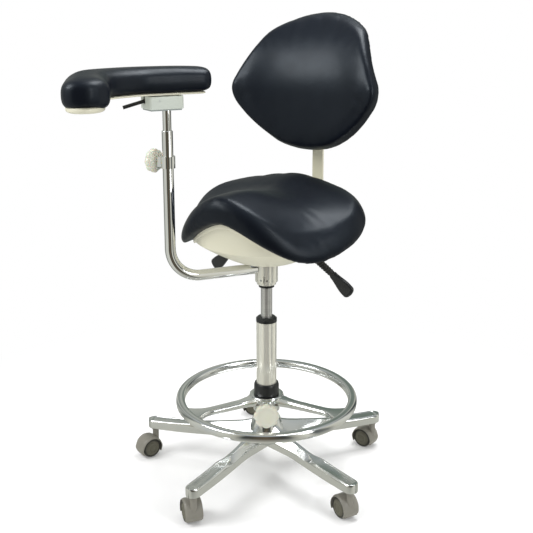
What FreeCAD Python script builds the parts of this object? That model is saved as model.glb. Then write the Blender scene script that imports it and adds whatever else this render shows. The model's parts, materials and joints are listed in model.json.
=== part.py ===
import FreeCAD, Part
import math
import os
from FreeCAD import Vector

# Dentist saddle stool.  Millimetres, +Z up, origin on the floor under the column's axis.
# The seat's nose points to -Y, the backrest stands at +Y and the arm support is at -X, -Y.

os.makedirs("parts", exist_ok=True)

# Fits
RUNNING = 0.05            # radial clearance of a shaft in its bore
GAP = 0.4                 # clearance between bodies that move past each other

# Five-star base
LEG_COUNT = 5
STEM_REACH = 302.0        # column axis to caster stem
TIP_FLOOR = 75.0          # underside of a leg's tip
TIP_RADIUS = 17.0
HUB_RADIUS = 41.0
HUB_TOP = 140.0
HUB_TOP_RADIUS = 34.0
HUB_SHOULDER = 118.0
HUB_BOTTOM = 80.0
LEG_STATIONS = (          # distance out, width, underside, shoulder, ridge
    (24.0, 60.0, 84.0, 104.0, 132.0),
    (110.0, 44.0, 82.0, 98.0, 115.0),
    (210.0, 37.0, 76.0, 90.0, 103.0),
    (292.0, 33.0, 75.0, 87.0, 97.0),
)
LEG_RIDGE = 9.0           # width of the flat ridge along a leg
LEG_WALL = 5.0            # metal left round the channel under a leg

# Casters
WHEEL_RADIUS = 25.0
WHEEL_WIDTH = 14.0
WHEEL_INNER = 5.5         # mid-plane of the caster to a wheel's inner face
CASTER_TRAIL = 21.0
AXLE_RADIUS = 3.0
STEM_RADIUS = 5.5
STEM_TOP = 94.0
HOOD_RADIUS = 29.5
HOOD_WALL = 2.6
HOOD_HALF_WIDTH = 21.0
HOOD_BOTTOM = 11.0        # height of the hood's lower edges
WEB_HALF_WIDTH = 4.5      # of the web between the two wheels
NECK_RADIUS = 8.0
NECK_TOP = TIP_FLOOR - 0.8
CASTER_HEADINGS = (142.0, 152.0, 176.0, 200.0, 250.0)   # way each caster trails, from +X

# Column and gas lift
TUBE_RADIUS = 25.0
TUBE_WALL = 1.6
TUBE_BOTTOM = 84.0
TUBE_TOP = 396.0
TUBE_FLOOR = 3.0
GUIDE_TOP = 408.0
GUIDE_LENGTH = 74.0
CYLINDER_RADIUS = 14.0
CYLINDER_WALL = 1.8
CYLINDER_BOTTOM = 190.0
CYLINDER_TOP = 583.0
CYLINDER_CAP = 30.0
ROD_RADIUS = 5.0
PISTON_BOTTOM = 445.0
PISTON_HEIGHT = 14.0
BEARING_HEIGHT = 7.0
BUTTON_RADIUS = 4.0
BUTTON_TOP = CYLINDER_TOP + 4.6

# Foot ring
RING_OUTER = 225.4
RING_WIDTH = 22.0
RING_HEIGHT = 21.0
RING_TOP = 205.0
RING_HUB_RADIUS = 33.0
RING_FLANGE_RADIUS = 43.0
RING_FLANGE_HEIGHT = 9.0
RING_HUB_BOTTOM = 163.0
RING_BUSH_TOP = 236.0
RING_BUSH_FLOOR = 192.0
SPOKE_COUNT = 3
SPOKE_STATIONS = (        # distance out, width, underside, shoulder, ridge
    (30.0, 36.0, 183.0, 190.0, 203.0),
    (80.0, 28.0, 185.0, 191.0, 201.0),
    (150.0, 27.0, 187.0, 192.0, 200.0),
    (209.0, 44.0, 188.0, 193.0, 203.0),
)
SPOKE_RIDGE = 6.0         # width of the flat ridge along a spoke
SPOKE_HEADING = 33.0      # heading of the knob, from -Y towards +X, half-way between two spokes
RING_KNOB_Z = 180.0
RING_BOSS = 56.0          # column axis to the end of the knob's boss
RING_KNOB_RADIUS = 31.0

# Star knobs
KNOB_LOBES = 8
KNOB_THICKNESS = 20.0
SCREW_RADIUS = 4.0
PAD_LENGTH = 5.0          # brass tip between a screw and the tube that it clamps

# Arm support
ARM_HEADING = -34.6       # from -Y towards +X
ARM_REACH = 239.0
ARM_Z = 533.0
ARM_RADIUS = 12.5
ARM_BORE = 9.8
ARM_BEND = 72.0
ARM_TOP = 876.0
INNER_RADIUS = ARM_BORE - 0.08
INNER_BOTTOM = 690.0
CLAMP_BOTTOM = 792.0
CLAMP_HEIGHT = 27.0
CLAMP_RADIUS = 16.5
CLAMP_LUG = 24.0
ARM_KNOB_RADIUS = 27.5
ARM_PAD_LENGTH = 3.0
COLLAR_RADIUS = 27.5
COLLAR_BOTTOM = 492.0
COLLAR_TOP = 549.0
HEAD_BOTTOM = 923.0
HEAD_TOP = 955.0
HEAD_LENGTH = 80.0
HEAD_SHIFT = 10.0         # centre of the head ahead of the post
HEAD_WIDTH = 58.0
ARM_PIN_Y = -28.0         # release lever's pin, ahead of the post
ARM_PIN_Z = 945.0
HEAD_HEADING = -27.0      # way the head and the pad's straight end lie, from -Y towards +X
PAD_BASE_THICK = 5.0
PAD_WIDTH = 94.0
PAD_THICK = 54.0
PAD_ROUTE = (             # plan of the pad's middle line
    (-90, -103), (-100, -123), (-138, -199), (-172, -285), (-168, -392), (-105, -477), (-76, -502),
)

# Saddle
SEAT_CENTRE_Y = -21.0
SEAT_FRONT = 182.6
SEAT_BACK = 192.2
SEAT_HALF_WIDTH = 236.0
SEAT_TAPER = 0.33
SEAT_CROWN_Z = 706.5      # mid-surface of the cushion at the crown
SEAT_DIP = 20.0
SEAT_THICK = 63.0
SIDE_DROOP = 34.0
WING_DROOP = 91.2
DROOP_EASE = 0.0144       # rounds the ridge along the middle, in half-widths squared
BOARD_INSET = 42.0
BOARD_THICK = 6.0
SHELL_INSET = 29.0
SHELL_WALL = 4.0
SHELL_RIM = 12.0
BOWL_PROFILE = ((43.0, 548.5), (75.0, 556.0), (118.0, 576.0), (165.0, 603.0), (215.0, 640.0))
NECK_OPENING = 43.0

# Seat mechanism
BRACKET_Z = 562.0
BRACKET_THICK = 4.0
BRACKET_HALF = 34.0
CHEEK = 3.0
TILT_Y = -25.0
TILT_Z = 612.0
PIN_RADIUS = 5.0
SPRING_RADIUS = 8.5       # of the coil's middle line
SPRING_WIRE = 1.1
SPRING_PITCH = 3.2
SPRING_TURNS = 5
PLATE_TOP = 635.0
PLATE_THICK = 4.0
LEVER_Z = 592.0
LEVER_X = 24.0
LEVER_ROD = 4.0
LEVER_PIN = 2.5
LEVER_DROP = 34.0         # degrees that the outer part of a lever slopes down
LEVER_LENGTH = 112.0      # of the sloping part
BOOT_RIBS = 11
BOOT_PITCH = 6.6
PADDLE_START = 82.0       # along the sloping part
PADDLE_STATIONS = (       # distance along the paddle, half height, half thickness
    (0.0, 7.0, 7.0),
    (6.0, 8.5, 7.5),
    (22.0, 10.5, 7.5),
    (42.0, 13.5, 7.5),
    (58.0, 13.5, 7.0),
    (66.0, 8.0, 5.0),
)
BACK_PIVOT_Y = 78.0
BACK_PIVOT_Z = 579.0

# Backrest
BACK_Y = 211.0
BACK_Z = 945.0
BACK_LEAN = 0.03
BACK_FLARE = 0.0021       # how fast the upper part curves away, per mm
FLARE_START = 935.0
BACK_WRAP = 0.0011
BACK_MIDDLE = 940.0       # height at which the backrest is widest
BACK_HALF_WIDTH = 209.0
BACK_RISE = 196.0
BACK_FALL = 146.0
BACK_FRONT = 38.0         # cushion in front of the mid-surface
BACK_REAR = 14.0          # and behind it
BAR_WIDTH = 30.0
BAR_THICK = 6.0
BAR_Y = 246.0
BAR_TOP = 965.0
GUIDE_LOW = 868.0         # sleeve on the backrest that slides on the bar
GUIDE_HIGH = 952.0
BACK_GAP = 1.6            # cushion to the shell behind it
BACK_SHELL_INSET = 16.0
BACK_SHELL_THICK = 6.0


def heading(degrees):
    """Unit vector at an angle from -Y towards +X."""
    angle = math.radians(degrees)
    return Vector(math.sin(angle), -math.cos(angle), 0)


def cylinder(radius, bottom, top, x=0.0, y=0.0):
    return Part.makeCylinder(radius, top - bottom, Vector(x, y, bottom))


def rod(start, end, radius):
    """A round bar from one point to another."""
    start = Vector(*start)
    along = Vector(*end) - start
    return Part.makeCylinder(radius, along.Length, start, along)


def tube(outer, inner, bottom, top, x=0.0, y=0.0):
    return cylinder(outer, bottom, top, x, y).cut(cylinder(inner, bottom - 1, top + 1, x, y))


def block(low, high):
    return Part.makeBox(high[0] - low[0], high[1] - low[1], high[2] - low[2], Vector(*low))


def turned(shape, degrees, centre=(0, 0, 0), axis=(0, 0, 1)):
    copy = shape.copy()
    copy.rotate(Vector(*centre), Vector(*axis), degrees)
    return copy


def moved(shape, x, y, z):
    copy = shape.copy()
    copy.translate(Vector(x, y, z))
    return copy


def revolved(points):
    """A solid of revolution about Z from (radius, height) corners."""
    wire = Part.makePolygon([Vector(r, 0, z) for r, z in points + points[:1]])
    return Part.Face(wire).revolve(Vector(0, 0, 0), Vector(0, 0, 1), 360)


def prism(points, low, high, plane="XY"):
    """A straight solid on a closed outline in the named plane, from low to high."""
    place = {
        "XY": lambda a, b: Vector(a, b, low),
        "XZ": lambda a, b: Vector(a, low, b),
        "YZ": lambda a, b: Vector(low, a, b),
    }[plane]
    way = {"XY": Vector(0, 0, 1), "XZ": Vector(0, 1, 0), "YZ": Vector(1, 0, 0)}[plane]
    corners = [place(a, b) for a, b in points]
    return Part.Face(Part.makePolygon(corners + corners[:1])).extrude(way * (high - low))


def smooth_loop(points):
    curve = Part.BSplineCurve()
    curve.interpolate(Points=[Vector(*p) for p in points], PeriodicFlag=True)
    return Part.Wire([curve.toShape()])


def loft(wires):
    return Part.makeLoft(wires, True, False)


def ease(low, high, value):
    """0 at low, 1 at high, smooth between."""
    t = min(1.0, max(0.0, (value - low) / (high - low)))
    return t * t * (3 - 2 * t)


def save(shape, node):
    solids = shape.Solids
    shape = solids[0] if len(solids) == 1 else Part.makeCompound(solids)
    if not shape.isValid():
        print("not valid:", node)
    shape.exportStep("parts/" + node + ".step")
    print(node, len(solids), round(shape.Volume))


# ---------------------------------------------------------------- base

def ridged_section(out, half, floor, shoulder, ridge, top):
    """A closed wire across X with flat sides and sloping shoulders up to a ridge of half width top."""
    right = [(half, floor), (half, shoulder), (top, ridge)]
    left = [(-a, b) for a, b in reversed(right)]
    corners = [Vector(out, a, b) for a, b in right + left]
    return Part.makePolygon(corners + corners[:1])


def leg_section(out, width, floor, shoulder, ridge):
    return ridged_section(out, width / 2, floor, shoulder, ridge, LEG_RIDGE / 2)


def channel_section(out, width, floor, shoulder, ridge):
    """The hollow under a leg, a wall's thickness inside the leg's own section."""
    half = width / 2 - LEG_WALL
    return ridged_section(out, half, floor - 1, shoulder - LEG_WALL, ridge - LEG_WALL * 1.6, LEG_RIDGE / 2)


def base_leg():
    """One leg along +X: a ridged, channelled casting that ends in a round boss."""
    leg = loft([leg_section(*station) for station in LEG_STATIONS])
    boss = cylinder(TIP_RADIUS, TIP_FLOOR, LEG_STATIONS[-1][4], STEM_REACH)
    channel = loft([channel_section(*station) for station in LEG_STATIONS[1:]])
    channel = channel.common(block((60, -40, 0), (STEM_REACH - TIP_RADIUS - 4, 40, 200)))
    return leg.cut(channel).fuse(boss)


def base_star():
    side = [(HUB_RADIUS, HUB_BOTTOM), (HUB_RADIUS, HUB_SHOULDER), (HUB_TOP_RADIUS, HUB_TOP)]
    star = revolved([(0, HUB_BOTTOM)] + side + [(0, HUB_TOP)])
    for index in range(LEG_COUNT):
        star = star.fuse(turned(base_leg(), 360 / LEG_COUNT * index - 90))
    star = star.cut(cylinder(TUBE_RADIUS, TUBE_BOTTOM, HUB_TOP + 1))
    star = star.cut(cylinder(TUBE_RADIUS - 6, HUB_BOTTOM - 1, TUBE_BOTTOM + 1))
    for x, y in stem_places():
        star = star.cut(cylinder(STEM_RADIUS, TIP_FLOOR - 1, STEM_TOP, x, y))
    return star.removeSplitter()


def stem_places():
    for index in range(LEG_COUNT):
        way = heading(360 / LEG_COUNT * index) * STEM_REACH
        yield way.x, way.y


def caster_stem(x, y):
    """A steel pin with a snap ring, pressed into a leg; the caster turns on its lower end."""
    stem = cylinder(STEM_RADIUS, 34, STEM_TOP, x, y)
    return stem.cut(tube(STEM_RADIUS + 1, STEM_RADIUS - 0.8, 42, 44, x, y))


def caster_housing():
    """The hood, web and neck of a twin-wheel caster, with its axle; the swivel axis is Z."""
    wide = HOOD_HALF_WIDTH
    inside = HOOD_RADIUS - HOOD_WALL
    hood = on_axle(HOOD_RADIUS, -wide, wide).cut(on_axle(inside, -wide - 1, wide + 1))
    web = on_axle(HOOD_RADIUS - 1, -WEB_HALF_WIDTH, WEB_HALF_WIDTH)
    below = block((-60, -60, -20), (90, 60, HOOD_BOTTOM))
    neck = cylinder(NECK_RADIUS, 30, NECK_TOP)
    collar = cylinder(NECK_RADIUS + 1.5, NECK_TOP - 7, NECK_TOP)
    neck = neck.fuse(collar)
    neck = neck.cut(on_axle(inside, WEB_HALF_WIDTH, wide)).cut(on_axle(inside, -wide, -WEB_HALF_WIDTH))
    body = hood.fuse(web).cut(below).fuse(neck)
    body = body.cut(cylinder(STEM_RADIUS + RUNNING, 20, NECK_TOP + 1))
    body = body.cut(on_axle(AXLE_RADIUS, -wide, wide))
    reach = WHEEL_INNER + WHEEL_WIDTH - 3
    return Part.makeCompound([body.Solids[0], on_axle(AXLE_RADIUS, -reach, reach)])


def on_axle(radius, low, high):
    """A cylinder about a caster's axle between two distances across it."""
    return Part.makeCylinder(radius, high - low, Vector(CASTER_TRAIL, low, WHEEL_RADIUS), Vector(0, 1, 0))


def caster_wheel(side):
    """One wheel with a dished outer face; side is +1 or -1 along Y."""
    inner = WHEEL_INNER
    outer = WHEEL_INNER + WHEEL_WIDTH
    corners = [
        (AXLE_RADIUS + RUNNING, inner), (WHEEL_RADIUS - 2, inner), (WHEEL_RADIUS, inner + 2),
        (WHEEL_RADIUS, outer - 4), (WHEEL_RADIUS - 3, outer), (WHEEL_RADIUS - 6, outer),
        (WHEEL_RADIUS - 8, outer - 2), (7, outer - 2), (5, outer), (0, outer), (0, outer - 2.5),
        (AXLE_RADIUS + RUNNING, outer - 2.5),
    ]
    wheel = revolved(corners)
    wheel = turned(wheel, -90 * side, axis=(1, 0, 0))
    return moved(wheel, CASTER_TRAIL, 0, WHEEL_RADIUS)


def placed_caster(shape, index):
    x, y = list(stem_places())[index]
    return moved(turned(shape, CASTER_HEADINGS[index]), x, y, 0)


# ---------------------------------------------------------------- column and gas lift

def column_tube():
    outer = cylinder(TUBE_RADIUS, TUBE_BOTTOM, TUBE_TOP)
    inner = cylinder(TUBE_RADIUS - TUBE_WALL, TUBE_BOTTOM + TUBE_FLOOR, TUBE_TOP + 1)
    return outer.cut(inner).cut(cylinder(ROD_RADIUS + RUNNING, TUBE_BOTTOM - 1, TUBE_BOTTOM + 9))


def column_guide_bush():
    """The sleeve that guides the gas cylinder, with a collar over the tube's rim."""
    sleeve = cylinder(TUBE_RADIUS - TUBE_WALL, GUIDE_TOP - GUIDE_LENGTH, TUBE_TOP)
    collar = revolved([
        (0, TUBE_TOP), (TUBE_RADIUS + 0.6, TUBE_TOP), (TUBE_RADIUS + 0.6, GUIDE_TOP - 4),
        (TUBE_RADIUS - 4, GUIDE_TOP), (0, GUIDE_TOP),
    ])
    return sleeve.fuse(collar).cut(cylinder(CYLINDER_RADIUS + RUNNING, 200, GUIDE_TOP + 1))


def thrust_bearing():
    floor = TUBE_BOTTOM + TUBE_FLOOR
    return tube(13.0, ROD_RADIUS + RUNNING, floor, floor + BEARING_HEIGHT)


def piston_rod():
    """The rod that stands on the thrust bearing, with its shoulder, piston and bottom clip."""
    shoulder = TUBE_BOTTOM + TUBE_FLOOR + BEARING_HEIGHT
    bar = cylinder(ROD_RADIUS, 78, PISTON_BOTTOM + 1)
    bar = bar.fuse(cylinder(9.0, shoulder, shoulder + 8))
    piston = CYLINDER_RADIUS - CYLINDER_WALL - RUNNING
    bar = bar.fuse(cylinder(piston, PISTON_BOTTOM, PISTON_BOTTOM + PISTON_HEIGHT))
    groove_top = TUBE_BOTTOM - GAP
    bar = bar.cut(tube(ROD_RADIUS + 2, ROD_RADIUS - 0.8, groove_top - 1.4, groove_top))
    clip = tube(9.0, ROD_RADIUS - 0.8, groove_top - 1.4, groove_top)
    return Part.makeCompound([bar, clip])


def gas_cylinder():
    outer = cylinder(CYLINDER_RADIUS, CYLINDER_BOTTOM, CYLINDER_TOP)
    hollow = cylinder(CYLINDER_RADIUS - CYLINDER_WALL, CYLINDER_BOTTOM + 8, CYLINDER_TOP - CYLINDER_CAP)
    outer = outer.cut(hollow)
    outer = outer.cut(cylinder(ROD_RADIUS + RUNNING, CYLINDER_BOTTOM - 1, CYLINDER_BOTTOM + 9))
    return outer.cut(cylinder(BUTTON_RADIUS + RUNNING, CYLINDER_TOP - 16, CYLINDER_TOP + 1))


def valve_button():
    return cylinder(BUTTON_RADIUS, CYLINDER_TOP - 10, BUTTON_TOP)


# ---------------------------------------------------------------- foot ring

def ring_spoke():
    """A ridged spoke along +X that widens where it meets the ring."""
    wires = []
    for out, width, floor, shoulder, ridge in SPOKE_STATIONS:
        wires.append(ridged_section(out, width / 2, floor, shoulder, ridge, SPOKE_RIDGE / 2))
    return loft(wires)


def foot_ring():
    """The ring's oval-section hoop, its three spokes and its hub, cast in one piece."""
    middle = RING_OUTER - RING_WIDTH / 2
    section = Part.Ellipse(Vector(0, 0, 0), RING_WIDTH / 2, RING_HEIGHT / 2).toShape()
    section.rotate(Vector(0, 0, 0), Vector(1, 0, 0), 90)
    section.translate(Vector(middle, 0, RING_TOP - RING_HEIGHT / 2))
    ring = Part.Face(Part.Wire([section])).revolve(Vector(0, 0, 0), Vector(0, 0, 1), 360)
    flange_floor = RING_TOP + 1 - RING_FLANGE_HEIGHT
    hub = revolved([
        (0, RING_HUB_BOTTOM),
        (RING_HUB_RADIUS, RING_HUB_BOTTOM),
        (RING_HUB_RADIUS, flange_floor - 6),
        (RING_FLANGE_RADIUS, flange_floor),
        (RING_FLANGE_RADIUS, RING_TOP - 1),
        (RING_FLANGE_RADIUS - 2, RING_TOP + 1),
        (0, RING_TOP + 1),
    ])
    for index in range(SPOKE_COUNT):
        degrees = SPOKE_HEADING - 90 + 60 + 360 / SPOKE_COUNT * index
        hub = hub.fuse(turned(ring_spoke(), degrees))
    way = heading(SPOKE_HEADING)
    boss = rod((0, 0, RING_KNOB_Z), (way.x * RING_BOSS, way.y * RING_BOSS, RING_KNOB_Z), 10.0)
    hub = hub.fuse(boss)
    hub = hub.cut(cylinder(TUBE_RADIUS + GAP, RING_HUB_BOTTOM - 1, RING_TOP + 2))
    hub = hub.cut(cylinder(TUBE_RADIUS + 4 + RUNNING, RING_BUSH_FLOOR, RING_TOP + 2))
    ring = ring.fuse(hub)
    ring = ring.cut(cylinder(TUBE_RADIUS + GAP, RING_HUB_BOTTOM - 1, RING_TOP + 2))
    hole = rod((0, 0, RING_KNOB_Z), (way.x * 60, way.y * 60, RING_KNOB_Z), SCREW_RADIUS + 2 * RUNNING)
    return ring.cut(hole)


def foot_ring_bush():
    """The flanged sleeve that slides on the column and carries the ring's hub."""
    flange = revolved([
        (0, RING_TOP + 1),
        (TUBE_RADIUS + 6, RING_TOP + 1),
        (TUBE_RADIUS + 5, RING_BUSH_TOP - 8),
        (TUBE_RADIUS + 3, RING_BUSH_TOP),
        (0, RING_BUSH_TOP),
    ])
    sleeve = cylinder(TUBE_RADIUS + 4, RING_BUSH_FLOOR + 0.2, RING_TOP + 2)
    return flange.fuse(sleeve).cut(cylinder(TUBE_RADIUS + RUNNING, RING_BUSH_FLOOR - 1, RING_BUSH_TOP + 1))


# ---------------------------------------------------------------- star knobs

def star_knob(radius, neck):
    """A lobed knob on a screw along +X: the screw's tip is at X = 0 and the knob's back at X = neck."""
    points = []
    for index in range(KNOB_LOBES * 2):
        angle = math.pi * index / KNOB_LOBES
        reach = radius if index % 2 == 0 else radius * 0.86
        points.append((neck + 6, reach * math.cos(angle), reach * math.sin(angle)))
    head = Part.Face(smooth_loop(points)).extrude(Vector(KNOB_THICKNESS - 6, 0, 0))
    cone = Part.makeCone(radius * 0.36, radius * 0.8, 6.0, Vector(neck, 0, 0), Vector(1, 0, 0))
    screw = Part.makeCylinder(SCREW_RADIUS, neck + 4, Vector(0, 0, 0), Vector(1, 0, 0))
    return head.fuse(cone).fuse(screw)


def clamp_pad(length):
    """The brass tip that the screw presses on the tube; it lies along +X from X = 0."""
    return Part.makeCylinder(SCREW_RADIUS, length, Vector(0, 0, 0), Vector(1, 0, 0))


def aimed(shape, degrees, start, z, centre=(0.0, 0.0)):
    """Turns a shape that lies along +X to a heading and puts its X = 0 at a distance from a centre."""
    way = heading(degrees)
    return moved(turned(shape, degrees - 90), centre[0] + way.x * start, centre[1] + way.y * start, z)


# ---------------------------------------------------------------- arm support

def arm_post():
    way = heading(ARM_HEADING) * ARM_REACH
    return way.x, way.y


def arm_path():
    """Straight out from the collar, one bend, then straight up."""
    way = heading(ARM_HEADING)
    start = way * (COLLAR_RADIUS - 4) + Vector(0, 0, ARM_Z)
    bend_start = way * (ARM_REACH - ARM_BEND) + Vector(0, 0, ARM_Z)
    diagonal = ARM_BEND * math.sqrt(0.5)
    bend_middle = way * (ARM_REACH - ARM_BEND + diagonal) + Vector(0, 0, ARM_Z + ARM_BEND - diagonal)
    bend_end = way * ARM_REACH + Vector(0, 0, ARM_Z + ARM_BEND)
    top = way * ARM_REACH + Vector(0, 0, ARM_TOP)
    edges = [Part.makeLine(start, bend_start), Part.Arc(bend_start, bend_middle, bend_end).toShape(),
             Part.makeLine(bend_end, top)]
    return Part.Wire(edges), start, way


def swept_tube(radius):
    path, start, way = arm_path()
    ring = Part.Wire([Part.makeCircle(radius, start, way)])
    return path.makePipeShell([ring], True, False)


def arm_tube():
    x, y = arm_post()
    bent = swept_tube(ARM_RADIUS).cut(swept_tube(ARM_BORE))
    bent = bent.cut(cylinder(COLLAR_RADIUS, COLLAR_BOTTOM, COLLAR_TOP + 10))
    middle = CLAMP_BOTTOM + CLAMP_HEIGHT / 2
    hole = rod((x - 30, y, middle), (x, y, middle), SCREW_RADIUS + 2 * RUNNING)
    return bent.cut(hole)


def arm_collar():
    """The split ring that turns on the gas cylinder and carries the arm's tube."""
    ring = revolved([
        (0, COLLAR_BOTTOM),
        (COLLAR_RADIUS - 4, COLLAR_BOTTOM),
        (COLLAR_RADIUS - 4, COLLAR_BOTTOM + 5),
        (COLLAR_RADIUS, COLLAR_BOTTOM + 7),
        (COLLAR_RADIUS, COLLAR_TOP),
        (0, COLLAR_TOP),
    ])
    ring = ring.cut(cylinder(CYLINDER_RADIUS + RUNNING, COLLAR_BOTTOM - 1, COLLAR_TOP + 1))
    slot = turned(block((-1.2, -40, COLLAR_BOTTOM + 7), (1.2, -CYLINDER_RADIUS, COLLAR_BOTTOM + 25)), 20)
    ring = ring.cut(slot)
    for x, y, z in collar_screw_places():
        outside = Vector(x, y, 0).normalize() * (COLLAR_RADIUS + 1)
        ring = ring.cut(rod((outside.x * 0.68, outside.y * 0.68, z), (outside.x, outside.y, z), 2.5))
    return ring


def collar_screw_places():
    for degrees in (4.0, 36.0, 150.0):
        way = heading(degrees)
        yield way.x, way.y, COLLAR_BOTTOM + 14


def collar_screws():
    screws = []
    for x, y, z in collar_screw_places():
        way = Vector(x, y, 0).normalize()
        screw = rod((way.x * 19.5, way.y * 19.5, z), (way.x * 27, way.y * 27, z), 2.5)
        socket = rod((way.x * 24.5, way.y * 24.5, z), (way.x * 28, way.y * 28, z), 1.3)
        screws.append(screw.cut(socket))
    return Part.makeCompound(screws)


def collar_stop_ring():
    return tube(19.0, CYLINDER_RADIUS, COLLAR_BOTTOM - GAP - 7, COLLAR_BOTTOM - GAP)


def arm_clamp_ring():
    x, y = arm_post()
    top = CLAMP_BOTTOM + CLAMP_HEIGHT
    middle = CLAMP_BOTTOM + CLAMP_HEIGHT / 2
    ring = cylinder(CLAMP_RADIUS, CLAMP_BOTTOM, top, x, y)
    lug = block((x - CLAMP_LUG, y - 9, CLAMP_BOTTOM + 2), (x, y + 9, top - 2))
    ring = ring.fuse(lug).cut(cylinder(ARM_RADIUS, CLAMP_BOTTOM - 1, top + 1, x, y))
    return ring.cut(rod((x - 40, y, middle), (x, y, middle), SCREW_RADIUS + 2 * RUNNING))


def arm_inner_tube():
    x, y = arm_post()
    return tube(INNER_RADIUS, INNER_RADIUS - 2, INNER_BOTTOM, HEAD_BOTTOM + 14, x, y)


def in_head(shape):
    """Puts a shape drawn about the post's axis, with the pad's way along -Y, on the post."""
    x, y = arm_post()
    return moved(turned(shape, HEAD_HEADING), x, y, 0)


def arm_head():
    """The rectangular housing on the post, open at the top, with a slot for the release lever."""
    front = -HEAD_LENGTH / 2 - HEAD_SHIFT
    back = HEAD_LENGTH / 2 - HEAD_SHIFT
    wide = HEAD_WIDTH / 2
    shell = block((-wide, front, HEAD_BOTTOM + 3), (wide, back, HEAD_TOP))
    shell = shell.makeFillet(3.0, [edge for edge in shell.Edges if abs(edge.tangentAt(0).z) > 0.9])
    room = block((-wide + 3, front + 3, HEAD_BOTTOM + 15), (wide - 3, back - 3, HEAD_TOP + 1))
    body = shell.cut(room)
    body = body.cut(cylinder(INNER_RADIUS + RUNNING, HEAD_BOTTOM, HEAD_BOTTOM + 14.4))
    slot = block((-12, front - 1, HEAD_TOP - 17), (0, front + 4, HEAD_TOP + 1))
    return in_head(body.cut(arm_pin_bar()).cut(slot))


def arm_pin_bar():
    wide = HEAD_WIDTH / 2
    return rod((-wide, ARM_PIN_Y, ARM_PIN_Z), (wide, ARM_PIN_Y, ARM_PIN_Z), 2.5)


def arm_head_plate():
    long = HEAD_LENGTH / 2 - 4
    plate = block((-25, -long - HEAD_SHIFT, HEAD_BOTTOM), (25, long - HEAD_SHIFT, HEAD_BOTTOM + 3))
    return in_head(plate.cut(cylinder(INNER_RADIUS + RUNNING, HEAD_BOTTOM - 1, HEAD_BOTTOM + 4)))


def arm_lever_pin():
    return in_head(arm_pin_bar())


def arm_release_lever():
    """A black bar that turns on its pin and comes out of the head's front end."""
    z = ARM_PIN_Z
    boss = rod((-9.5, ARM_PIN_Y, z), (-2.5, ARM_PIN_Y, z), 5.0)
    bar = block((-8, ARM_PIN_Y - 20, z - 3), (-4, ARM_PIN_Y - 3, z + 2))
    grip = rod((-6, ARM_PIN_Y - 17, z - 0.5), (-20, ARM_PIN_Y - 66, z - 15), 4.0)
    bore = rod((-20, ARM_PIN_Y, z), (20, ARM_PIN_Y, z), 2.5 + RUNNING)
    return in_head(boss.fuse(bar).fuse(grip).cut(bore))


def pad_frames(count):
    """Points and directions along the pad's curved route."""
    curve = Part.BSplineCurve()
    curve.interpolate(Points=[Vector(x, y, 0) for x, y in PAD_ROUTE])
    first, last = curve.FirstParameter, curve.LastParameter
    for index in range(count):
        share = index / (count - 1)
        at = first + (last - first) * (0.5 - 0.5 * math.cos(math.pi * share))
        yield share, curve.value(at), curve.tangent(at)[0].normalize()


def pad_solid(width, floor, top, power):
    """A rounded bar along the pad's route with narrowed round ends."""
    wires = []
    for share, middle, along in pad_frames(13):
        side = Vector(-along.y, along.x, 0)
        from_end = min(share, 1 - share) * 2
        fullness = 0.22 + 0.78 * min(1.0, from_end * 2.2) ** 0.6
        half = width / 2 * fullness
        tall = (top - floor) / 2 * (0.6 + 0.4 * fullness)
        points = []
        for step in range(14):
            angle = 2 * math.pi * step / 14
            across = math.copysign(abs(math.cos(angle)) ** power, math.cos(angle)) * half
            up = math.copysign(abs(math.sin(angle)) ** power, math.sin(angle)) * tall
            points.append(middle + side * across + Vector(0, 0, (top + floor) / 2 + up))
        wires.append(smooth_loop(points))
    return loft(wires)


def arm_pad_base():
    """The cream tray under the pad, with a block that drops into the head."""
    floor = HEAD_TOP + 2 * GAP
    tray = pad_solid(PAD_WIDTH - 16, floor, floor + PAD_BASE_THICK, 0.5)
    return tray.fuse(in_head(block((-20, -2, HEAD_TOP - 7), (20, 24, HEAD_TOP + 3))))


def arm_pad():
    floor = HEAD_TOP + PAD_BASE_THICK + 5 * GAP
    return pad_solid(PAD_WIDTH, floor, floor + PAD_THICK, 0.72)


# ---------------------------------------------------------------- saddle

def seat_span(y):
    """-1 at the nose, 0 at the middle, +1 at the back edge."""
    return (y - SEAT_CENTRE_Y) / (SEAT_BACK if y > SEAT_CENTRE_Y else SEAT_FRONT)


def seat_width(y):
    """Half the saddle's width at a distance along it."""
    full = max(0.0, 1 - abs(seat_span(y)) ** 3.84) ** 0.49
    return SEAT_HALF_WIDTH * full * (1 - SEAT_TAPER * (1 - ease(-190, 60, y)))


def seat_middle(x, y):
    """Height of the cushion's mid-surface: wings droop most at the front, the middle is dipped."""
    droop = SIDE_DROOP + WING_DROOP * (1 - ease(-160, 100, y))
    dip = SEAT_DIP * math.exp(-((y - 25) / 85) ** 2) * math.exp(-(x / 150) ** 2)
    rise = 8.7 * ease(20, 190, y)
    share = ((x / 200) ** 2 + DROOP_EASE) ** 0.685 - DROOP_EASE ** 0.685
    return SEAT_CROWN_Z - dip + rise - 1.05 * droop * share


def seat_cushion():
    wires = []
    for span in (-0.995, -0.96, -0.85, -0.6, -0.3, 0.0, 0.3, 0.6, 0.85, 0.96, 0.995):
        y = SEAT_CENTRE_Y + span * (SEAT_BACK if span > 0 else SEAT_FRONT)
        half = seat_width(y)
        end = math.sqrt(1 - abs(span) ** 6)
        points = []
        for step in range(20):
            angle = math.pi * 2 * step / 20
            across = math.cos(angle)
            across = math.copysign(abs(across) ** 0.75, across)
            thick = SEAT_THICK / 2 * end * math.sqrt(max(0.0, 1 - abs(across) ** 6))
            thick = math.copysign(thick, math.sin(angle)) if 0 < step % 10 else 0.0
            points.append(Vector(half * across, y, seat_middle(half * across, y) + thick))
        wires.append(smooth_loop(points))
    return loft(wires)


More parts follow.
